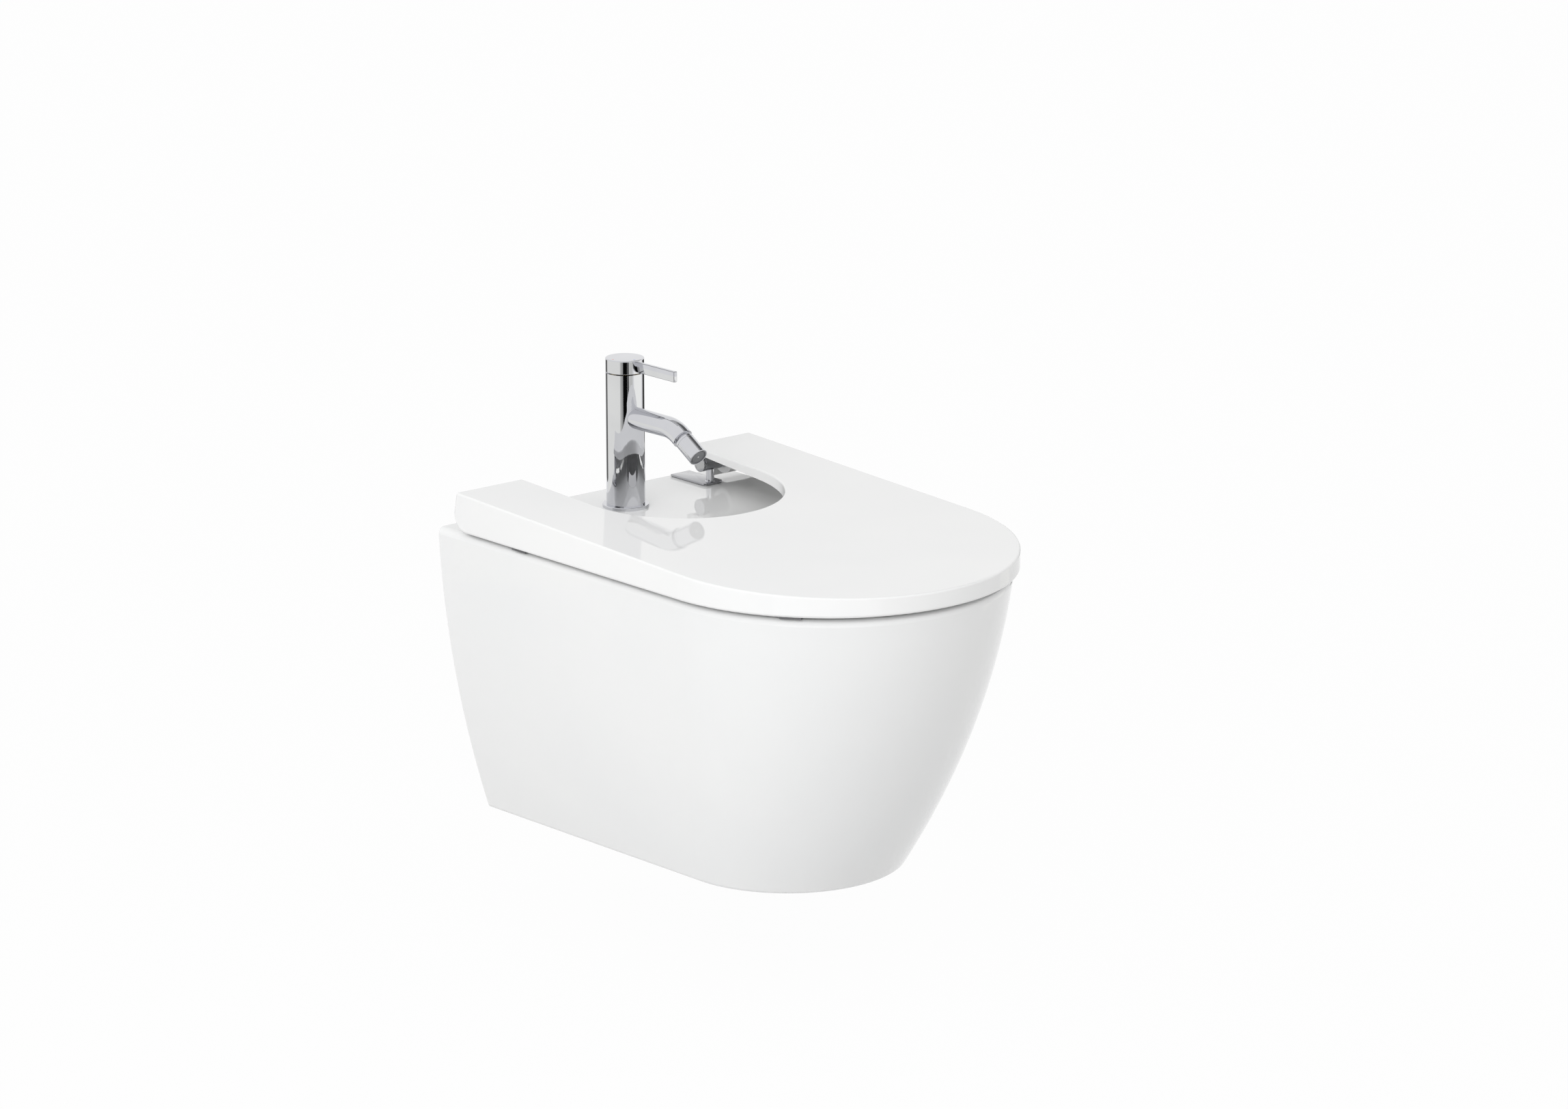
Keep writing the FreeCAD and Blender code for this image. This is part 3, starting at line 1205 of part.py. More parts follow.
build_ceramic()
build_wall_fixing()
build_lid()
build_hinges()
build_tap_body()
build_tap_fixing()
build_cartridge()
build_lever()
build_nozzle()
build_waste()
doc.removeObject("probe")
doc.recompute()

# Every object has to be sound before anything is written
faults = [item.Name for item in doc.Objects if {"Invalid", "Error"} & set(item.State)]
for piece in nodes:
    if piece.Shape.isNull() or not piece.Shape.isValid() or not piece.Shape.Solids:
        faults.append(piece.Label)
if faults:
    raise RuntimeError("unsound objects: " + ", ".join(faults))

os.makedirs("parts", exist_ok=True)
for piece in nodes:
    piece.Shape.exportStep("parts/%s.step" % piece.Label)
    print("%-24s solids %d volume %.1f" % (piece.Label, len(piece.Shape.Solids), piece.Shape.Volume))
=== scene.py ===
import json
import math

import bmesh
import bpy
from mathutils import Matrix, Vector


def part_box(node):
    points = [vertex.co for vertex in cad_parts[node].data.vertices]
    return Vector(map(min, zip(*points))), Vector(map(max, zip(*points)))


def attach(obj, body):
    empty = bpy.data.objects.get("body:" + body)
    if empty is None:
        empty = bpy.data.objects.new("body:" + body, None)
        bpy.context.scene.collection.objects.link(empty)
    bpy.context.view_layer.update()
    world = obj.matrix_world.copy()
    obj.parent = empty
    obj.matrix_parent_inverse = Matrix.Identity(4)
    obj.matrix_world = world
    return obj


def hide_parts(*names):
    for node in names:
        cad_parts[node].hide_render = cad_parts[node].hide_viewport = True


# Wall-hung bidet in white glaze, with a white lid and a chrome tap, in a bright white studio.
# Lengths are in metres. The wall is the plane y = 0, and the object's front faces -Y.

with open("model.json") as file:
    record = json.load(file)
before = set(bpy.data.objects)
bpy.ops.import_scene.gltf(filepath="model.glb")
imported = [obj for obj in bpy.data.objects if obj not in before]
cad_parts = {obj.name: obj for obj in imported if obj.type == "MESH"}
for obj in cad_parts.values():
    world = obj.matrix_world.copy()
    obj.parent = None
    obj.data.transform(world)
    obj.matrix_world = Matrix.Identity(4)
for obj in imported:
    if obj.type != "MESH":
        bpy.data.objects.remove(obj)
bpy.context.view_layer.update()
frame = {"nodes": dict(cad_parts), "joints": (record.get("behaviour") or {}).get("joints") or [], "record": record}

MM = 0.001
X_AXIS = Vector((1, 0, 0))
Z_AXIS = Vector((0, 0, 1))
WHITE = (1, 1, 1, 1)

# Faces that meet at less than this angle are shaded as one
SMOOTH_BELOW = math.radians(32)

# A profile's runs above the first length get extra points, the second length from their ends
LONG_RUN = 0.8 * MM
HOLD = 0.1 * MM

# Points closer than this become one
SAME_POINT = 0.001 * MM

# Steps round a turned piece: the marks, the posts, most pieces, and the widest ones
MARK_STEPS = 32
POST_STEPS = 64
USUAL_STEPS = 96
WIDE_STEPS = 128

# The hinges, with the way along X that leads outwards from each
SIDES = {"left": -1, "right": 1}
BARREL_EDGE = 0.35 * MM

# The hinge plates end this far in front of their posts, with front corners of this radius
PLATE_AHEAD = 6.5 * MM
PLATE_CORNER = 4 * MM
CORNER_SEGMENTS = 8

# The blade stops this far short of the lever's solid
BLADE_SHORT = 3.3 * MM

# The aerator's face lies this far inside the nozzle's end
AERATOR_RECESS = 0.6 * MM

# The photograph's frame and the camera that was fitted to it
IMAGE_WIDTH = 2296
FOCAL_PIXELS = 7330.53
SENSOR_WIDTH = 36
CAMERA_PLACE = (-2.95843, -3.70140, 1.31760)
CAMERA_AZIMUTH = -40.984
CAMERA_ELEVATION = 15.236

# The floor, at the usual height below a wall-hung rim
RIM_ABOVE_FLOOR = 0.40
RIM_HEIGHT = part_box("ceramic_body")[1].z
FLOOR_HEIGHT = RIM_HEIGHT - RIM_ABOVE_FLOOR
FLOOR_REACH = 30

# The softboxes look at the middle of the object
LIGHT_AIM = Vector((0, -0.25, 0))

# The upright cards stand this far from the tap, and most of them just clear of the floor
FLAG_DISTANCE = 1.0
FLOOR_GAP = 0.01
FLAG_FOOT = FLOOR_HEIGHT + FLOOR_GAP


# Node trees

def add_node(tree, kind, **settings):
    node = tree.nodes.new(kind)
    for name, value in settings.items():
        setattr(node, name, value)
    return node


def feed(tree, socket, source):
    """A socket takes either another node's output or a plain value."""
    if isinstance(source, bpy.types.NodeSocket):
        tree.links.new(source, socket)
    else:
        socket.default_value = source


def math_node(tree, operation, first, second):
    node = add_node(tree, "ShaderNodeMath", operation=operation)
    feed(tree, node.inputs[0], first)
    feed(tree, node.inputs[1], second)
    return node.outputs[0]


def spread(tree, value, low, high, to_low=0.0, to_high=1.0):
    """The range from low to high, stretched to another range."""
    node = add_node(tree, "ShaderNodeMapRange")
    for name, source in (("Value", value), ("From Min", low), ("From Max", high),
                         ("To Min", to_low), ("To Max", to_high)):
        feed(tree, node.inputs[name], source)
    return node.outputs["Result"]


def blend_colours(tree, mask, first, second):
    node = add_node(tree, "ShaderNodeMix", data_type="RGBA")
    feed(tree, node.inputs[0], mask)
    for socket, colour in ((node.inputs[6], first), (node.inputs[7], second)):
        feed(tree, socket, (*colour, 1) if isinstance(colour, tuple) else colour)
    return node.outputs[2]


def noise(tree, vector, scale, detail):
    node = add_node(tree, "ShaderNodeTexNoise")
    feed(tree, node.inputs["Vector"], vector)
    feed(tree, node.inputs["Scale"], scale)
    feed(tree, node.inputs["Detail"], detail)
    return node.outputs["Fac"]


def mix_shaders(tree, share, first, second, output):
    """Output node's surface: the first node's shader, with a share of the second's."""
    mix = add_node(tree, "ShaderNodeMixShader")
    feed(tree, mix.inputs[0], share)
    feed(tree, mix.inputs[1], first.outputs[0])
    feed(tree, mix.inputs[2], second.outputs[0])
    feed(tree, output.inputs["Surface"], mix.outputs[0])


def new_group(name, inputs, output):
    """Shader node group from number inputs, and the place on the object, to one number."""
    group = bpy.data.node_groups.new(name, "ShaderNodeTree")
    for socket in inputs:
        group.interface.new_socket(socket, in_out="INPUT", socket_type="NodeSocketFloat")
    group.interface.new_socket(output, in_out="OUTPUT", socket_type="NodeSocketFloat")
    given = add_node(group, "NodeGroupInput").outputs
    result = add_node(group, "NodeGroupOutput").inputs[output]
    place = add_node(group, "ShaderNodeTexCoord").outputs["Object"]
    return group, given, result, place


def cloudy_group():
    """Slow drift of tone over a surface."""
    group, given, result, place = new_group("cloudy_tone", ["Scale"], "Mask")
    drift = noise(group, place, given["Scale"], detail=3.0)
    feed(group, result, spread(group, drift, low=0.35, high=0.65))
    return group


def ripple_group():
    """Long soft waves with a finer skin on them, as a poured glaze or a moulding has."""
    group, given, result, place = new_group("skin_ripple", ["Scale", "Fine"], "Height")
    finer = 9.0
    waves = noise(group, place, given["Scale"], detail=1.0)
    fine_scale = math_node(group, "MULTIPLY", given["Scale"], finer)
    fine_waves = noise(group, place, fine_scale, detail=2.0)
    fine = math_node(group, "MULTIPLY", fine_waves, given["Fine"])
    feed(group, result, math_node(group, "ADD", waves, fine))
    return group


def handling_group():
    """Faint wiped marks that only change the gloss."""
    group, given, result, place = new_group("wiped_marks", ["Scale"], "Mask")
    finer = 14.0
    wide = spread(group, noise(group, place, given["Scale"], detail=4.0), low=0.45, high=0.75)
    fine_scale = math_node(group, "MULTIPLY", given["Scale"], finer)
    fine = spread(group, noise(group, place, fine_scale, detail=3.0), low=0.3, high=0.8)
    feed(group, result, math_node(group, "MULTIPLY", wide, fine))
    return group


def lathe_group():
    """Fine rings that a turning tool leaves, stacked along Z."""
    group, given, result, place = new_group("lathe_lines", ["Lines"], "Height")
    height = add_node(group, "ShaderNodeSeparateXYZ")
    feed(group, height.inputs[0], place)
    rings = add_node(group, "ShaderNodeTexNoise", noise_dimensions="1D")
    feed(group, rings.inputs["W"], height.outputs["Z"])
    feed(group, rings.inputs["Scale"], given["Lines"])
    feed(group, result, rings.outputs["Fac"])
    return group


CLOUDY = cloudy_group()
RIPPLE = ripple_group()
HANDLING = handling_group()
LATHE = lathe_group()

# Each skin is a group with its values, and the strength and depth of its relief
GLAZE_SKIN = dict(group=RIPPLE, values={"Scale": 26.0, "Fine": 0.05}, strength=0.02, depth=0.3 * MM)
MOULDED_SKIN = dict(group=RIPPLE, values={"Scale": 40.0, "Fine": 0.05}, strength=0.012, depth=0.2 * MM)
PLATED_SKIN = dict(group=RIPPLE, values={"Scale": 90.0, "Fine": 0.05}, strength=0.008, depth=0.1 * MM)
GRAINED_SKIN = dict(group=RIPPLE, values={"Scale": 900.0, "Fine": 0.5}, strength=0.25, depth=0.1 * MM)
TURNED_SKIN = dict(group=LATHE, values={"Lines": 3000.0}, strength=0.12, depth=0.05 * MM)


# Materials

def new_material(name):
    material = bpy.data.materials.new(name)
    material.use_nodes = True
    tree = material.node_tree
    return material, tree, tree.nodes["Principled BSDF"]


def use_group(tree, group, **values):
    node = add_node(tree, "ShaderNodeGroup", node_tree=group)
    for name, value in values.items():
        node.inputs[name].default_value = value
    return node.outputs[0]


def relief(tree, group, values, strength, depth):
    bump = add_node(tree, "ShaderNodeBump")
    bump.inputs["Strength"].default_value = strength
    bump.inputs["Distance"].default_value = depth
    feed(tree, bump.inputs["Height"], use_group(tree, group, **values))
    return bump.outputs["Normal"]


def finish(name, tones, roughness, tone_scale, mark_scale, skin, metal=0.0, coat=0.0):
    """A finish drifts between two tones and two roughnesses, over a skin of its own relief."""
    material, tree, shader = new_material(name)
    tone = use_group(tree, CLOUDY, Scale=tone_scale)
    feed(tree, shader.inputs["Base Color"], blend_colours(tree, tone, *tones))
    marks = use_group(tree, HANDLING, Scale=mark_scale)
    feed(tree, shader.inputs["Roughness"], spread(tree, marks, 0.0, 1.0, *roughness))
    feed(tree, shader.inputs["Normal"], relief(tree, **skin))
    shader.inputs["Metallic"].default_value = metal
    shader.inputs["Coat Weight"].default_value = coat
    return material


def white_glaze():
    return finish("white_glaze", tones=((0.845, 0.85, 0.85), (0.87, 0.872, 0.868)),
                  roughness=(0.02, 0.045), tone_scale=4.0, mark_scale=9.0, skin=GLAZE_SKIN, coat=0.3)


def lid_white():
    return finish("lid_white", tones=((0.86, 0.863, 0.863), (0.885, 0.886, 0.882)),
                  roughness=(0.025, 0.05), tone_scale=5.0, mark_scale=14.0, skin=MOULDED_SKIN)


def bright_chrome():
    return finish("bright_chrome", tones=((0.605, 0.61, 0.637), (0.635, 0.64, 0.665)),
                  roughness=(0.015, 0.045), tone_scale=30.0, mark_scale=60.0, skin=PLATED_SKIN, metal=1.0)


def satin_and_painted_shade_chrome():
    """Satin plating of the hinges' barrels, caps and plates; its rougher gloss is the plating's own, its darker
    tone is painted shade.
    """
    return finish("satin_and_painted_shade_chrome", tones=((0.36, 0.363, 0.38), (0.395, 0.398, 0.415)),
                  roughness=(0.06, 0.12), tone_scale=40.0, mark_scale=60.0, skin=PLATED_SKIN, metal=1.0)


def painted_shade_chrome():
    """Chrome darkened as painted shade for the blade's edges, in place of their dark reflections."""
    return finish("painted_shade_chrome", tones=((0.26, 0.262, 0.28), (0.30, 0.302, 0.32)),
                  roughness=(0.06, 0.12), tone_scale=40.0, mark_scale=60.0, skin=PLATED_SKIN, metal=1.0)


def turned_steel():
    return finish("turned_steel", tones=((0.50, 0.50, 0.51), (0.60, 0.60, 0.60)),
                  roughness=(0.22, 0.36), tone_scale=60.0, mark_scale=80.0, skin=TURNED_SKIN, metal=1.0)


def turned_brass():
    return finish("turned_brass", tones=((0.62, 0.47, 0.21), (0.74, 0.58, 0.29)),
                  roughness=(0.2, 0.34), tone_scale=50.0, mark_scale=80.0, skin=TURNED_SKIN, metal=1.0)


def buffer_rubber():
    return finish("buffer_rubber", tones=((0.10, 0.10, 0.105), (0.15, 0.15, 0.155)),
                  roughness=(0.5, 0.68), tone_scale=70.0, mark_scale=90.0, skin=GRAINED_SKIN)


def aerator_grey():
    return finish("aerator_grey", tones=((0.20, 0.205, 0.215), (0.26, 0.265, 0.275)),
                  roughness=(0.3, 0.45), tone_scale=80.0, mark_scale=120.0, skin=GRAINED_SKIN)


def fixing_white():
    return finish("fixing_white", tones=((0.72, 0.72, 0.70), (0.78, 0.78, 0.76)),
                  roughness=(0.3, 0.42), tone_scale=40.0, mark_scale=60.0, skin=MOULDED_SKIN)


def lapped_disc():
    return finish("lapped_disc", tones=((0.76, 0.73, 0.67), (0.82, 0.80, 0.75)),
                  roughness=(0.15, 0.28), tone_scale=60.0, mark_scale=90.0, skin=MOULDED_SKIN)


def enamel(name, tones):
    return finish(name, tones,
                  roughness=(0.1, 0.2), tone_scale=400.0, mark_scale=300.0, skin=MOULDED_SKIN, coat=0.5)


def add_spot(material, centre, radius, colour):
    """Small round spot of another colour about a point, with a soft edge."""
    tree = material.node_tree
    base = tree.nodes["Principled BSDF"].inputs["Base Color"]
    under = base.links[0].from_socket
    away = add_node(tree, "ShaderNodeVectorMath", operation="DISTANCE")
    feed(tree, away.inputs[0], add_node(tree, "ShaderNodeTexCoord").outputs["Object"])
    away.inputs[1].default_value = centre
    solid, clear = radius * 0.8, radius * 1.2
    mask = spread(tree, away.outputs["Value"], solid, clear, to_low=1.0, to_high=0.0)
    feed(tree, base, blend_colours(tree, mask, under, colour))


# One finish for each material slot of the record, a satin chrome darkened as painted shade, and a chrome darkened
# as painted shade for the blade's edges
FINISHES = {
    "ceramic": white_glaze(),
    "lid_plastic": lid_white(),
    "chrome": bright_chrome(),
    "satin_and_painted_shade_chrome": satin_and_painted_shade_chrome(),
    "painted_shade_chrome": painted_shade_chrome(),
    "steel": turned_steel(),
    "brass": turned_brass(),
    "rubber": buffer_rubber(),
    "grey_plastic": aerator_grey(),
    "white_plastic": fixing_white(),
    "disc_ceramic": lapped_disc(),
    "hot_mark": enamel("red_enamel", tones=((0.68, 0.22, 0.21), (0.75, 0.27, 0.26))),
    "cold_mark": enamel("blue_enamel", tones=((0.22, 0.25, 0.64), (0.27, 0.30, 0.71))),
}
SLOTS = {part["node"]: part["material_slot"] for part in frame["record"]["subparts"]}
BODIES = {node: body for body, nodes in frame["record"]["behaviour"]["bodies"].items() for node in nodes}
for node, cad_object in frame["nodes"].items():
    cad_object.material_slots[0].material = FINISHES[SLOTS[node]]


# Objects and sizes

def new_object(name, data):
    made = bpy.data.objects.new(name, data)
    bpy.context.scene.collection.objects.link(made)
    return made


def new_mesh(name, bm):
    mesh = bpy.data.meshes.new(name)
    bm.to_mesh(mesh)
    bm.free()
    return mesh


def new_piece(name, bm, node, look=None):
    """Piece that stands for a CAD node: it takes that node's body and, unless told otherwise, its finish."""
    bmesh.ops.recalc_face_normals(bm, faces=bm.faces)
    mesh = new_mesh(name, bm)
    mesh.shade_smooth()
    mesh.set_sharp_from_angle(angle=SMOOTH_BELOW)
    mesh.materials.append(FINISHES[look or SLOTS[node]])
    piece = new_object(name, mesh)
    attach(piece, BODIES[node])
    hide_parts(node)
    return piece


def centre_of(node):
    low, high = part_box(node)
    return (low + high) / 2


def half_width(node):
    low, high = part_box(node)
    return (high.x - low.x) / 2


def upright_size(node):
    """Radius, height and foot of an upright round node on the object's middle plane."""
    low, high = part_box(node)
    return half_width(node), high.z - low.z, Vector((0, (low.y + high.y) / 2, low.z))


# Outlines and edges

def soften(bm, edges, width, segments=3):
    """Rounds some edges and gives the faces that this makes."""
    rounded = bmesh.ops.bevel(bm, geom=edges, offset=width, affect="EDGES", segments=segments, profile=0.5,
                              material=-1)
    return rounded["faces"]


def arc(centre_radius, centre_height, radius, start, end, steps=6):
    """Profile points along an arc, angles in degrees from the outward direction."""
    points = []
    for i in range(steps + 1):
        angle = math.radians(start + (end - start) * i / steps)
        points.append((centre_radius + radius * math.cos(angle), centre_height + radius * math.sin(angle)))
    return points


def lower_corner(radius, height, edge):
    """Rounding from a flat underside at some height out to the side."""
    return arc(radius - edge, height + edge, edge, -90, 0)


def upper_corner(radius, height, edge):
    """Rounding from the side in to a flat top at some height."""
    return arc(radius - edge, height - edge, edge, 0, 90)


def held(profile):
    """Profile with extra points near the ends of its long runs, which keep those runs' shading flat."""
    points = []
    for start, end in zip(profile, profile[1:]):
        run = math.dist(start, end)
        stops = (0, HOLD / run, 1 - HOLD / run) if run > LONG_RUN else (0,)
        points += [tuple(a + (b - a) * stop for a, b in zip(start, end)) for stop in stops]
    return points + [profile[-1]]


def spun(profile, centre, axis, steps=USUAL_STEPS):
    """Closed ring or capped solid from a profile of (radius, height) points, turned about an axis."""
    bm = bmesh.new()
    points = [bm.verts.new((radius, 0, height)) for radius, height in held(profile)]
    edges = [bm.edges.new(pair) for pair in zip(points, points[1:])]
    if profile[0][0] > 0:
        edges.append(bm.edges.new((points[-1], points[0])))
    bmesh.ops.spin(bm, geom=points + edges, cent=(0, 0, 0), axis=Z_AXIS, angle=math.tau, steps=steps,
                   use_merge=True)
    bmesh.ops.remove_doubles(bm, verts=bm.verts, dist=SAME_POINT)
    turn = Z_AXIS.rotation_difference(axis).to_matrix().to_4x4()
    bmesh.ops.transform(bm, matrix=Matrix.Translation(centre) @ turn, verts=bm.verts)
    return bm


def add_slab(bm, low, high, edge):
    """Flat slab between two corners, with its front corners rounded and its upper edges softened."""
    outline = ((low.x, high.y), (low.x, low.y), (high.x, low.y), (high.x, high.y))
    corners = [bm.verts.new((x, y, low.z)) for x, y in outline]
    bm.faces.new(corners)
    front = bmesh.ops.bevel(bm, geom=corners[1:3], offset=PLATE_CORNER, affect="VERTICES",
                            segments=CORNER_SEGMENTS, profile=0.5, material=-1)["verts"]
    base = [face for face in bm.faces if any(vertex in front for vertex in face.verts)]
    raised = bmesh.ops.extrude_face_region(bm, geom=base)["geom"]
    top = [item for item in raised if isinstance(item, bmesh.types.BMVert)]
    bmesh.ops.translate(bm, vec=Z_AXIS * (high.z - low.z), verts=top)
    top_edges = [item for item in raised if isinstance(item, bmesh.types.BMEdge)]
    soften(bm, top_edges, edge, segments=2)


# Tap

def build_tap_cap():
    radius, height, foot = upright_size("lever_cap")
    lower_edge, upper_edge = 0.3 * MM, 0.9 * MM
    profile = [(0, 0), *lower_corner(radius, 0, lower_edge), *upper_corner(radius, height, upper_edge),
               (0, height)]
    new_piece("tap_cap", spun(profile, foot, Z_AXIS, WIDE_STEPS), "lever_cap")


def build_mark(node, name):
    """Low enamel dome on top of the cap."""
    radius = half_width(node)
    proud, sunk, shoulder = 0.15 * MM, 0.1 * MM, 0.7
    profile = [(0, -sunk), (radius, -sunk), (radius, 0), (radius * shoulder, proud * shoulder), (0, proud)]
    top = centre_of(node)
    top.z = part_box(node)[1].z
    new_piece(name, spun(profile, top, Z_AXIS, MARK_STEPS), node)


def build_lever_blade():
    """Flat bar whose softened edges take chrome darkened as painted shade."""
    low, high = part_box("lever_bar")
    low.y += BLADE_SHORT
    edge = 0.5 * MM
    bm = bmesh.new()
    bmesh.ops.create_cube(bm, size=1)
    bmesh.ops.scale(bm, vec=high - low, verts=bm.verts)
    bmesh.ops.translate(bm, vec=(low + high) / 2, verts=bm.verts)
    # The softened edges take the second finish: chrome darkened as painted shade
    for face in soften(bm, bm.edges[:], edge):
        face.material_index = 1
    blade = new_piece("lever_blade", bm, "lever_bar")
    blade.data.materials.append(FINISHES["painted_shade_chrome"])


def build_base_ring():
    outer, height, foot = upright_size("tap_base_ring")
    width, edge = 6 * MM, 0.7 * MM
    inner = outer - width
    profile = [(inner, 0), (outer, 0), *upper_corner(outer, height, edge), (inner, height)]
    new_piece("base_ring", spun(profile, foot, Z_AXIS, WIDE_STEPS), "tap_base_ring")


def shell_profile(start, end):
    """Nozzle's wall, from the ball's socket round the grooved outside to the mouth and the throat."""
    outer = half_width("nozzle_housing")
    play, throat = 0.15 * MM, 5.5 * MM
    socket = half_width("swivel_ball") + play
    throat_angle = math.degrees(math.acos(throat / socket))
    edge, lip = 0.6 * MM, 0.5 * MM
    groove, groove_side, groove_depth = start + 2.6 * MM, 0.175 * MM, 0.3 * MM
    mouth, mouth_depth = 8.2 * MM, 10.8 * MM
    return [*arc(0, 0, socket, throat_angle, 0), (socket, start), *lower_corner(outer, start, edge),
            (outer, groove), (outer - groove_depth, groove + groove_side),
            (outer - groove_depth, groove + 3 * groove_side), (outer, groove + 4 * groove_side),
            *upper_corner(outer, end, lip), (mouth, end),
            (mouth, end - mouth_depth), (throat, end - mouth_depth)]


def aerator_profile(front):
    """Aerator with a ring groove in its face and a pip in the middle."""
    rim, rear = 8.1 * MM, front - 9 * MM
    groove_out, groove_in, groove_floor = 7.2 * MM, 6.7 * MM, front - 0.6 * MM
    pip_foot, pip_shoulder = (0.55 * MM, front), (0.44 * MM, front + 0.2 * MM)
    pip_top = (0, front + 0.25 * MM)
    return [(0, rear), (rim, rear), (rim, front), (groove_out, front), (groove_out, groove_floor),
            (groove_in, groove_floor), (groove_in, front), pip_foot, pip_shoulder, pip_top]


def build_nozzle():
    """Shell on the spout's ball, and the grey aerator in it with its pale pip."""
    swing = next(joint for joint in frame["joints"] if joint["name"] == "nozzle_swing")
    ball = Vector(swing["pos_m"])
    down_spout = X_AXIS.cross(Vector(swing["axis"])).normalized()
    housing = frame["nodes"]["nozzle_housing"].data.vertices
    along = [(vertex.co - ball).dot(down_spout) for vertex in housing]
    start, end = min(along), max(along)
    new_piece("nozzle_shell", spun(shell_profile(start, end), ball, down_spout), "nozzle_housing")
    front = end - AERATOR_RECESS
    new_piece("aerator_face", spun(aerator_profile(front), ball, down_spout), "aerator_insert")
    add_spot(FINISHES["grey_plastic"], centre=ball + down_spout * front, radius=0.8 * MM,
             colour=(0.85, 0.85, 0.85))


# Hinges

def barrel_radius(side):
    low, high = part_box("hinge_barrel_" + side)
    return (high.z - low.z) / 2


def build_barrel(side, outward):
    node = "hinge_barrel_" + side
    axis = X_AXIS * outward
    radius, half_length = barrel_radius(side), half_width(node)
    length, wall = 2 * half_length, 1.5 * MM
    bore = radius - wall
    profile = [(bore, 0), *lower_corner(radius, 0, BARREL_EDGE), *upper_corner(radius, length, BARREL_EDGE),
               (bore, length)]
    start = centre_of(node) - axis * half_length
    # Satin chrome, its darker tone painted shade
    new_piece("barrel_" + side, spun(profile, start, axis), node, "satin_and_painted_shade_chrome")


def build_barrel_cap(side, outward):
    """Cap on a barrel's inner end, dished within a ring, with a neck where it meets the barrel."""
    node = "hinge_end_cap_" + side
    radius = barrel_radius(side)
    depth, dish, ring = 3 * MM, 0.3 * MM, 1.6 * MM
    neck = radius - 0.6 * MM
    neck_edge, neck_start = depth - 1.2 * MM, depth - 1.1 * MM
    profile = [(0, dish), (radius - ring - dish, dish), (radius - ring, 0),
               *lower_corner(radius, 0, BARREL_EDGE),
               (radius, neck_edge), (neck, neck_start), (neck, depth), (0, depth)]
    low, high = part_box(node)
    start = centre_of("hinge_barrel_" + side)
    start.x = high.x if outward < 0 else low.x
    # Satin chrome, its darker tone painted shade
    new_piece("barrel_cap_" + side, spun(profile, start, X_AXIS * outward), node, "satin_and_painted_shade_chrome")


def build_post(side):
    """Round post with a flared foot, up into the barrel."""
    node = "hinge_post_" + side
    radius, flare, into_barrel = half_width(node), 0.8 * MM, 2 * MM
    foot = centre_of(node)
    foot.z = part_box(node)[0].z
    barrel_underside = centre_of("hinge_barrel_" + side).z - barrel_radius(side)
    rise = barrel_underside + into_barrel - foot.z
    profile = [(0, 0), *arc(radius + flare, flare, flare, -90, -180), (radius, rise), (0, rise)]
    new_piece("post_" + side, spun(profile, foot, Z_AXIS, POST_STEPS), node)


def plate_box(side):
    """Corners of a hinge plate, with its straight front ahead of the post."""
    low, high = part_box("hinge_plate_" + side)
    low.y = centre_of("hinge_post_" + side).y - PLATE_AHEAD
    return low, high


def build_plate(side):
    bm = bmesh.new()
    add_slab(bm, *plate_box(side), edge=0.3 * MM)
    # Satin chrome, its darker tone painted shade
    new_piece("plate_" + side, bm, "hinge_plate_" + side, "satin_and_painted_shade_chrome")


def build_gaskets():
    """Thin gaskets, a little smaller than the plates that lie on them."""
    gasket_low, gasket_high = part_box("hinge_gaskets")
    inset = 0.4 * MM
    bm = bmesh.new()
    for side in SIDES:
        low, high = plate_box(side)
        low = Vector((low.x + inset, low.y + inset, gasket_low.z))
        high = Vector((high.x - inset, high.y - inset, gasket_high.z))
        add_slab(bm, low, high, edge=0.05 * MM)
    new_piece("gasket_pair", bm, "hinge_gaskets")


# Waste

def build_plug():
    """Plug with a low domed top."""
    radius, height, foot = upright_size("waste_plug")
    crown, edge = 3 * MM, 1 * MM
    dome = (radius * radius + crown * crown) / (2 * crown)
    sweep = math.degrees(math.asin((radius - edge) / dome))
    profile = [(0, 0), *lower_corner(radius, 0, edge),
               *arc(0, height - dome, dome, 90 - sweep, 90, steps=16)]
    new_piece("plug_dome", spun(profile, foot, Z_AXIS, WIDE_STEPS), "waste_plug")


build_tap_cap()
build_mark("indicator_hot", "hot_dot")
build_mark("indicator_cold", "cold_dot")
build_lever_blade()
build_base_ring()
build_nozzle()
for side, outward in SIDES.items():
    build_barrel(side, outward)
    build_barrel_cap(side, outward)
    build_post(side)
    build_plate(side)
build_gaskets()
build_plug()


# Studio

def add_plane(name, width, height, matrix, material):
    bm = bmesh.new()
    bmesh.ops.create_grid(bm, x_segments=1, y_segments=1, size=0.5)
    bmesh.ops.scale(bm, vec=(width, height, 1), verts=bm.verts)
    bmesh.ops.transform(bm, matrix=matrix, verts=bm.verts)
    mesh = new_mesh(name, bm)
    mesh.materials.append(material)
    plane = new_object(name, mesh)
    return plane


def seen_directly(tree):
    """1 for rays that see the studio itself: from the camera, in metal and through glass."""
    path = add_node(tree, "ShaderNodeLightPath").outputs
    seen = math_node(tree, "MAXIMUM", path["Is Camera Ray"], path["Is Glossy Ray"])
    return math_node(tree, "MAXIMUM", seen, path["Is Transmission Ray"])


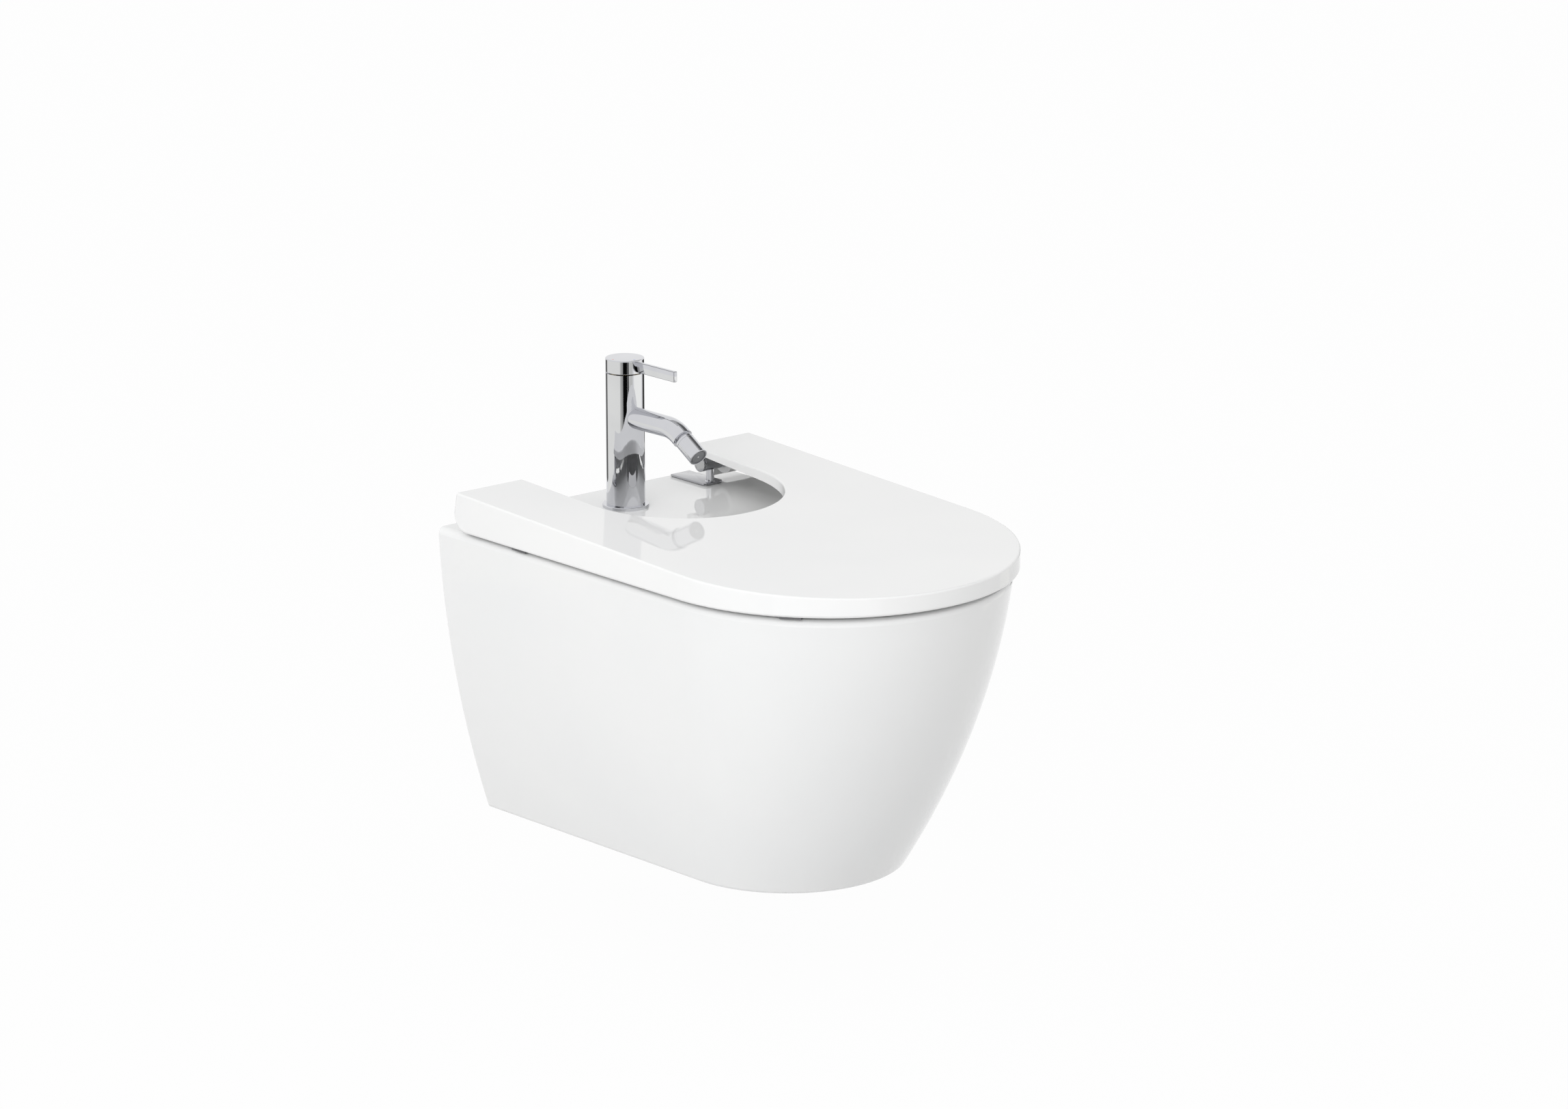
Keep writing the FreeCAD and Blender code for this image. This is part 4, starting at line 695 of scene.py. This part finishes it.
def build_floor():
    """Pale floor that shows as white, with a faint shadow of the object."""
    material, tree, shader = new_material("studio_floor")
    tone = use_group(tree, CLOUDY, Scale=0.6)
    greys = (0.62, 0.62, 0.62), (0.65, 0.65, 0.65)
    feed(tree, shader.inputs["Base Color"], blend_colours(tree, tone, *greys))
    shader.inputs["Roughness"].default_value = 0.6
    white_share = 0.97
    share = math_node(tree, "MULTIPLY", seen_directly(tree), white_share)
    glow = add_node(tree, "ShaderNodeEmission")
    mix_shaders(tree, share, shader, glow, tree.nodes["Material Output"])
    add_plane("floor", FLOOR_REACH, FLOOR_REACH, Matrix.Translation((0, 0, FLOOR_HEIGHT)), material)


def build_world():
    """Sky that is white where it is seen, and lights the object most from the upper left."""
    world = bpy.data.worlds.new("studio")
    bpy.context.scene.world = world
    world.use_nodes = True
    tree = world.node_tree
    bright_side = Vector((-0.78, -0.30, 0.55)).normalized()
    dimmest, brightest = 0.42, 0.95
    side = add_node(tree, "ShaderNodeVectorMath", operation="DOT_PRODUCT")
    feed(tree, side.inputs[0], add_node(tree, "ShaderNodeTexCoord").outputs["Generated"])
    side.inputs[1].default_value = bright_side
    lit = tree.nodes["Background"]
    lit.inputs["Color"].default_value = WHITE
    feed(tree, lit.inputs["Strength"], spread(tree, side.outputs["Value"], -1.0, 1.0, dimmest, brightest))
    white = add_node(tree, "ShaderNodeBackground")
    white.inputs["Color"].default_value = WHITE
    mix_shaders(tree, seen_directly(tree), lit, white, tree.nodes["World Output"])


def add_softbox(name, place, width, height, power):
    light = bpy.data.lights.new(name, "AREA")
    light.shape = "RECTANGLE"
    light.size, light.size_y = width, height
    light.energy = power
    box = new_object(name, light)
    box.location = place
    box.rotation_euler = (LIGHT_AIM - Vector(place)).to_track_quat("-Z", "Y").to_euler()
    box.visible_camera = False
    box.visible_glossy = False


def add_card(name, width, height, matrix, glow, nearest=0.0, farthest=9.0, tint=(1, 1, 1)):
    """Card that only shows in reflections, on what lies between two distances from it."""
    material, tree, shader = new_material(name)
    tree.nodes.remove(shader)
    lit = add_node(tree, "ShaderNodeEmission")
    lit.inputs["Color"].default_value = (*tint, 1)
    lit.inputs["Strength"].default_value = glow
    length = add_node(tree, "ShaderNodeLightPath").outputs["Ray Length"]
    shown = math_node(tree, "MULTIPLY", math_node(tree, "GREATER_THAN", length, nearest),
                      math_node(tree, "LESS_THAN", length, farthest))
    clear = add_node(tree, "ShaderNodeBsdfTransparent")
    mix_shaders(tree, shown, clear, lit, tree.nodes["Material Output"])
    card = add_plane(name, width, height, matrix, material)
    for ray in ("camera", "diffuse", "transmission", "volume_scatter", "shadow"):
        setattr(card, "visible_" + ray, False)


def add_flag(name, angle, width, low, high, glow, **limits):
    """Upright card at an angle round the tap from the camera's own."""
    turn = math.radians(CAMERA_AZIMUTH + angle)
    tap = centre_of("tap_body")
    place = (math.sin(turn) * FLAG_DISTANCE, tap.y - math.cos(turn) * FLAG_DISTANCE, (low + high) / 2)
    upright = Matrix.Rotation(turn, 4, "Z") @ Matrix.Rotation(math.radians(90), 4, "X")
    add_card(name, width, high - low, Matrix.Translation(place) @ upright, glow, **limits)


def build_softboxes():
    add_softbox("key_softbox", place=(-2.7, -1.5, 1.4), width=2.4, height=1.8, power=38)
    add_softbox("fill_softbox", place=(1.5, -2.8, 1.6), width=2.0, height=2.0, power=5)


def build_flags():
    """Dark and bright cards that give the chrome its upright stripes."""
    rear_foot, top = -0.13, 0.02
    tint = (1, 1, 0.96)
    # Name, angle in degrees, width, foot and glow of each
    flags = (
        ("front_flag", 1.5, 0.44, FLAG_FOOT, 0.004),
        ("front_edge_flag", 19.5, 0.19, FLAG_FOOT, 0.13),
        ("right_flag", 37, 0.40, FLAG_FOOT, 0.75),
        ("bright_flag", 86, 1.25, FLAG_FOOT, 1.25),
        ("left_shade_flag", -15.8, 0.15, FLAG_FOOT, 0.44),
        ("left_fade_flag", -24.3, 0.148, FLAG_FOOT, 0.69),
        ("left_flag", -53, 0.95, FLAG_FOOT, 1.05),
        ("far_left_flag", -100, 0.92, FLAG_FOOT, 1.05),
        ("rear_left_flag", -136, 0.42, rear_foot, 0.15),
        ("rear_right_flag", 146, 0.62, rear_foot, 0.08),
    )
    for name, angle, width, foot, glow in flags:
        add_flag(name, angle, width, foot, top, glow, nearest=0.88, farthest=1.2, tint=tint)


def build_panels():
    """Upright panel for the lid's gloss, two cards overhead, and a glowing card in the bowl's mouth, a painted
    reflection that shows the shaded bowl lighter in the chrome.
    """
    add_flag("lid_panel", angle=7.7, width=0.89, low=FLAG_FOOT, high=0.12, glow=1.5, farthest=0.86)
    x, y = 0.875, -0.15
    add_card("overhead_card", 0.85, 0.9, Matrix.Translation((x, y, 1.2)), glow=0.15)
    add_card("overhead_fade", 1.35, 1.4, Matrix.Translation((x, y, 1.23)), glow=0.5)
    # Glowing card in the bowl: painted light that lightens the bowl's reflection in the chrome
    below_rim = 0.03
    bowl = Matrix.Translation((0, centre_of("ceramic_body").y, RIM_HEIGHT - below_rim))
    add_card("painted_bowl_reflection", 0.2, 0.14, bowl, glow=0.6)


def build_camera():
    data = bpy.data.cameras.new("photo_camera")
    data.sensor_width = SENSOR_WIDTH
    data.lens = FOCAL_PIXELS / IMAGE_WIDTH * SENSOR_WIDTH
    data.clip_end = 100
    camera = new_object("photo_camera", data)
    camera.location = CAMERA_PLACE
    camera.rotation_euler = (math.radians(90 - CAMERA_ELEVATION), 0, math.radians(CAMERA_AZIMUTH))
    bpy.context.scene.camera = camera


build_floor()
build_world()
build_softboxes()
build_flags()
build_panels()
build_camera()
bpy.context.scene.view_settings.view_transform = "Standard"
